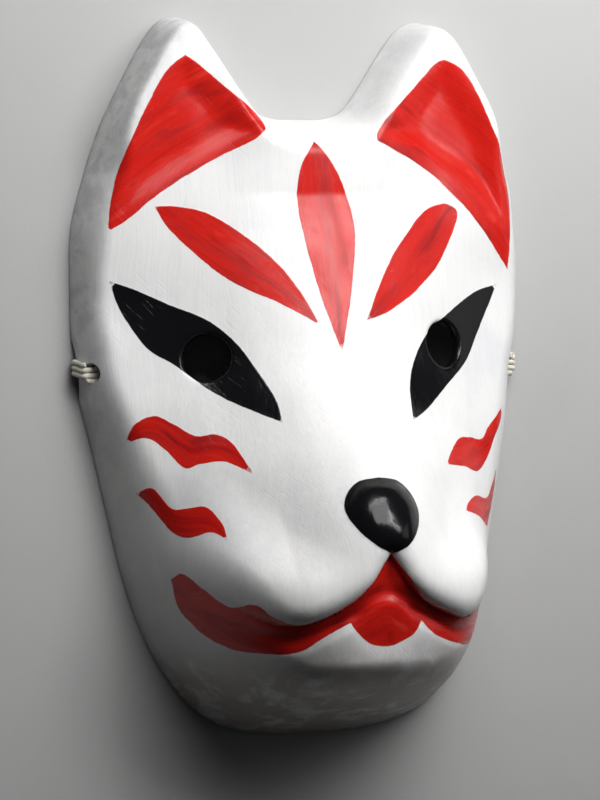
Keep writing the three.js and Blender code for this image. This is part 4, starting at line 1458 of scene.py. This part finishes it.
elastic, tree, place = start_material("elastic")
turned = times(tree, attribute(tree, "round"), float(YARNS))
run = times(tree, attribute(tree, "along"), YARNS / PITCH)
waves = []
for direction in ("ADD", "SUBTRACT"):
    phase = times(tree, maths(tree, direction, run, turned), math.pi)
    waves.append(maths(tree, "SINE", phase))
over = between(tree, times(tree, *waves), -0.25, 0.25)
yarns = mixed_numbers(tree, over, *(maths(tree, "ABSOLUTE", wave) for wave in waves))
fuzz = noise(tree, place, 3.0, 2)
cotton = blend(tree, between(tree, yarns, 0.55, 0.0, 0.0, 0.75), CREAM, SHADED)
tone_patches = use(tree, soiling, Vector=place, Size=7, Amount=0.6)["Soil"]
cotton = blend(tree, times(tree, tone_patches, 0.3), cotton, SOILED)
normal = bumped(tree, times(tree, fuzz, 0.03), ((yarns, 0.09),))
shader = finish(tree, Base_Color=cotton, Roughness=between(tree, yarns, 0, 1, 0.8, 0.62),
                Normal=normal)
shader["Sheen Weight"].default_value = SHEEN
shader["Sheen Roughness"].default_value = SHEEN_ROUGH
for piece in (elastic_span, *windings):
    piece.data.materials.append(elastic)
print("elastic:", len(tree.nodes), "nodes")

# %% [markdown]
# ## Floor and light
# The mask lies on a plain pale surface. One large soft light stands close by, beyond the ears and
# to the right, as a window does. It washes the brow and the bridge of the nose and leaves the
# chin in its own shade. More light from the front would flatten the form.

# %% Floor
FLOOR_HALF = 2.0
PALE, PALE_SHADE = (0.45, 0.45, 0.445), (0.42, 0.42, 0.42)

mesh = bpy.data.meshes.new("floor")
corners = [(x * FLOOR_HALF, y * FLOOR_HALF, 0) for x, y in ((-1, -1), (1, -1), (1, 1), (-1, 1))]
mesh.from_pydata(corners, [], [(0, 1, 2, 3)])
floor = put_in_scene("floor", mesh)
board, tree, place = start_material("pale_board")
tone = use(tree, soiling, Vector=place, Size=60, Amount=0.5)["Soil"]
grain = noise(tree, place, 0.9, 3)
finish(tree, Base_Color=blend(tree, times(tree, tone, 0.5), PALE, PALE_SHADE),
       Roughness=between(tree, grain, 0.3, 0.7, 0.75, 0.85),
       Normal=bumped(tree, times(tree, grain, 0.04)))
floor.data.materials.append(board)
print("floor:", 2 * FLOOR_HALF, "m wide")

# %% [markdown]
# A window is brightest at its upper edge and dim below, which shows in the gloss: a bright line
# with a sheen under it, on the nose and on the brow. One even light can't give that, so the
# large light is kept out of the mirror reflections, and weak panels stand in for it there: a
# wide one for each sheen, and a thin one at its edge for the line. A panel at the side gives the
# sheen in the right eye. The plain view transform keeps the red and the white as pure as a
# camera shows them, where the softer one would wash them out.

# %% Lights
def softbox(name, at, size, power, mirrored_too=True, aim=(0, 0, 0.03)):
    light = bpy.data.lights.new(name, "AREA")
    light.shape = "RECTANGLE"
    light.size, light.size_y = size
    light.energy = power
    made = put_in_scene(name, light)
    made.location = at
    made.rotation_mode = "QUATERNION"
    made.rotation_quaternion = (Vector(aim) - Vector(at)).to_track_quat("-Z", "Y")
    made.visible_glossy = mirrored_too


softbox("window", (0.18, 0.36, 0.39), (0.44, 0.32), 2.85, False)
softbox("right_sheen", (0.21, 0.205, 0.42), (0.32, 0.08), 0.34)
softbox("right_sheen_top", (0.21, 0.252, 0.41), (0.26, 0.014), 0.22)
softbox("middle_sheen", (-0.02, 0.33, 0.39), (0.36, 0.16), 0.7)
softbox("middle_sheen_top", (-0.02, 0.415, 0.32), (0.34, 0.016), 0.3)
softbox("side_panel", (1.1, 0.12, 0.62), (0.6, 0.6), 0.5)
studio = bpy.data.worlds.new("studio")
studio.use_nodes = True
AMBIENT = 0.015
studio.node_tree.nodes["Background"].inputs["Color"].default_value = (0.9, 0.94, 1, 1)
studio.node_tree.nodes["Background"].inputs["Strength"].default_value = AMBIENT
bpy.context.scene.world = studio
bpy.context.scene.view_settings.view_transform = "Standard"
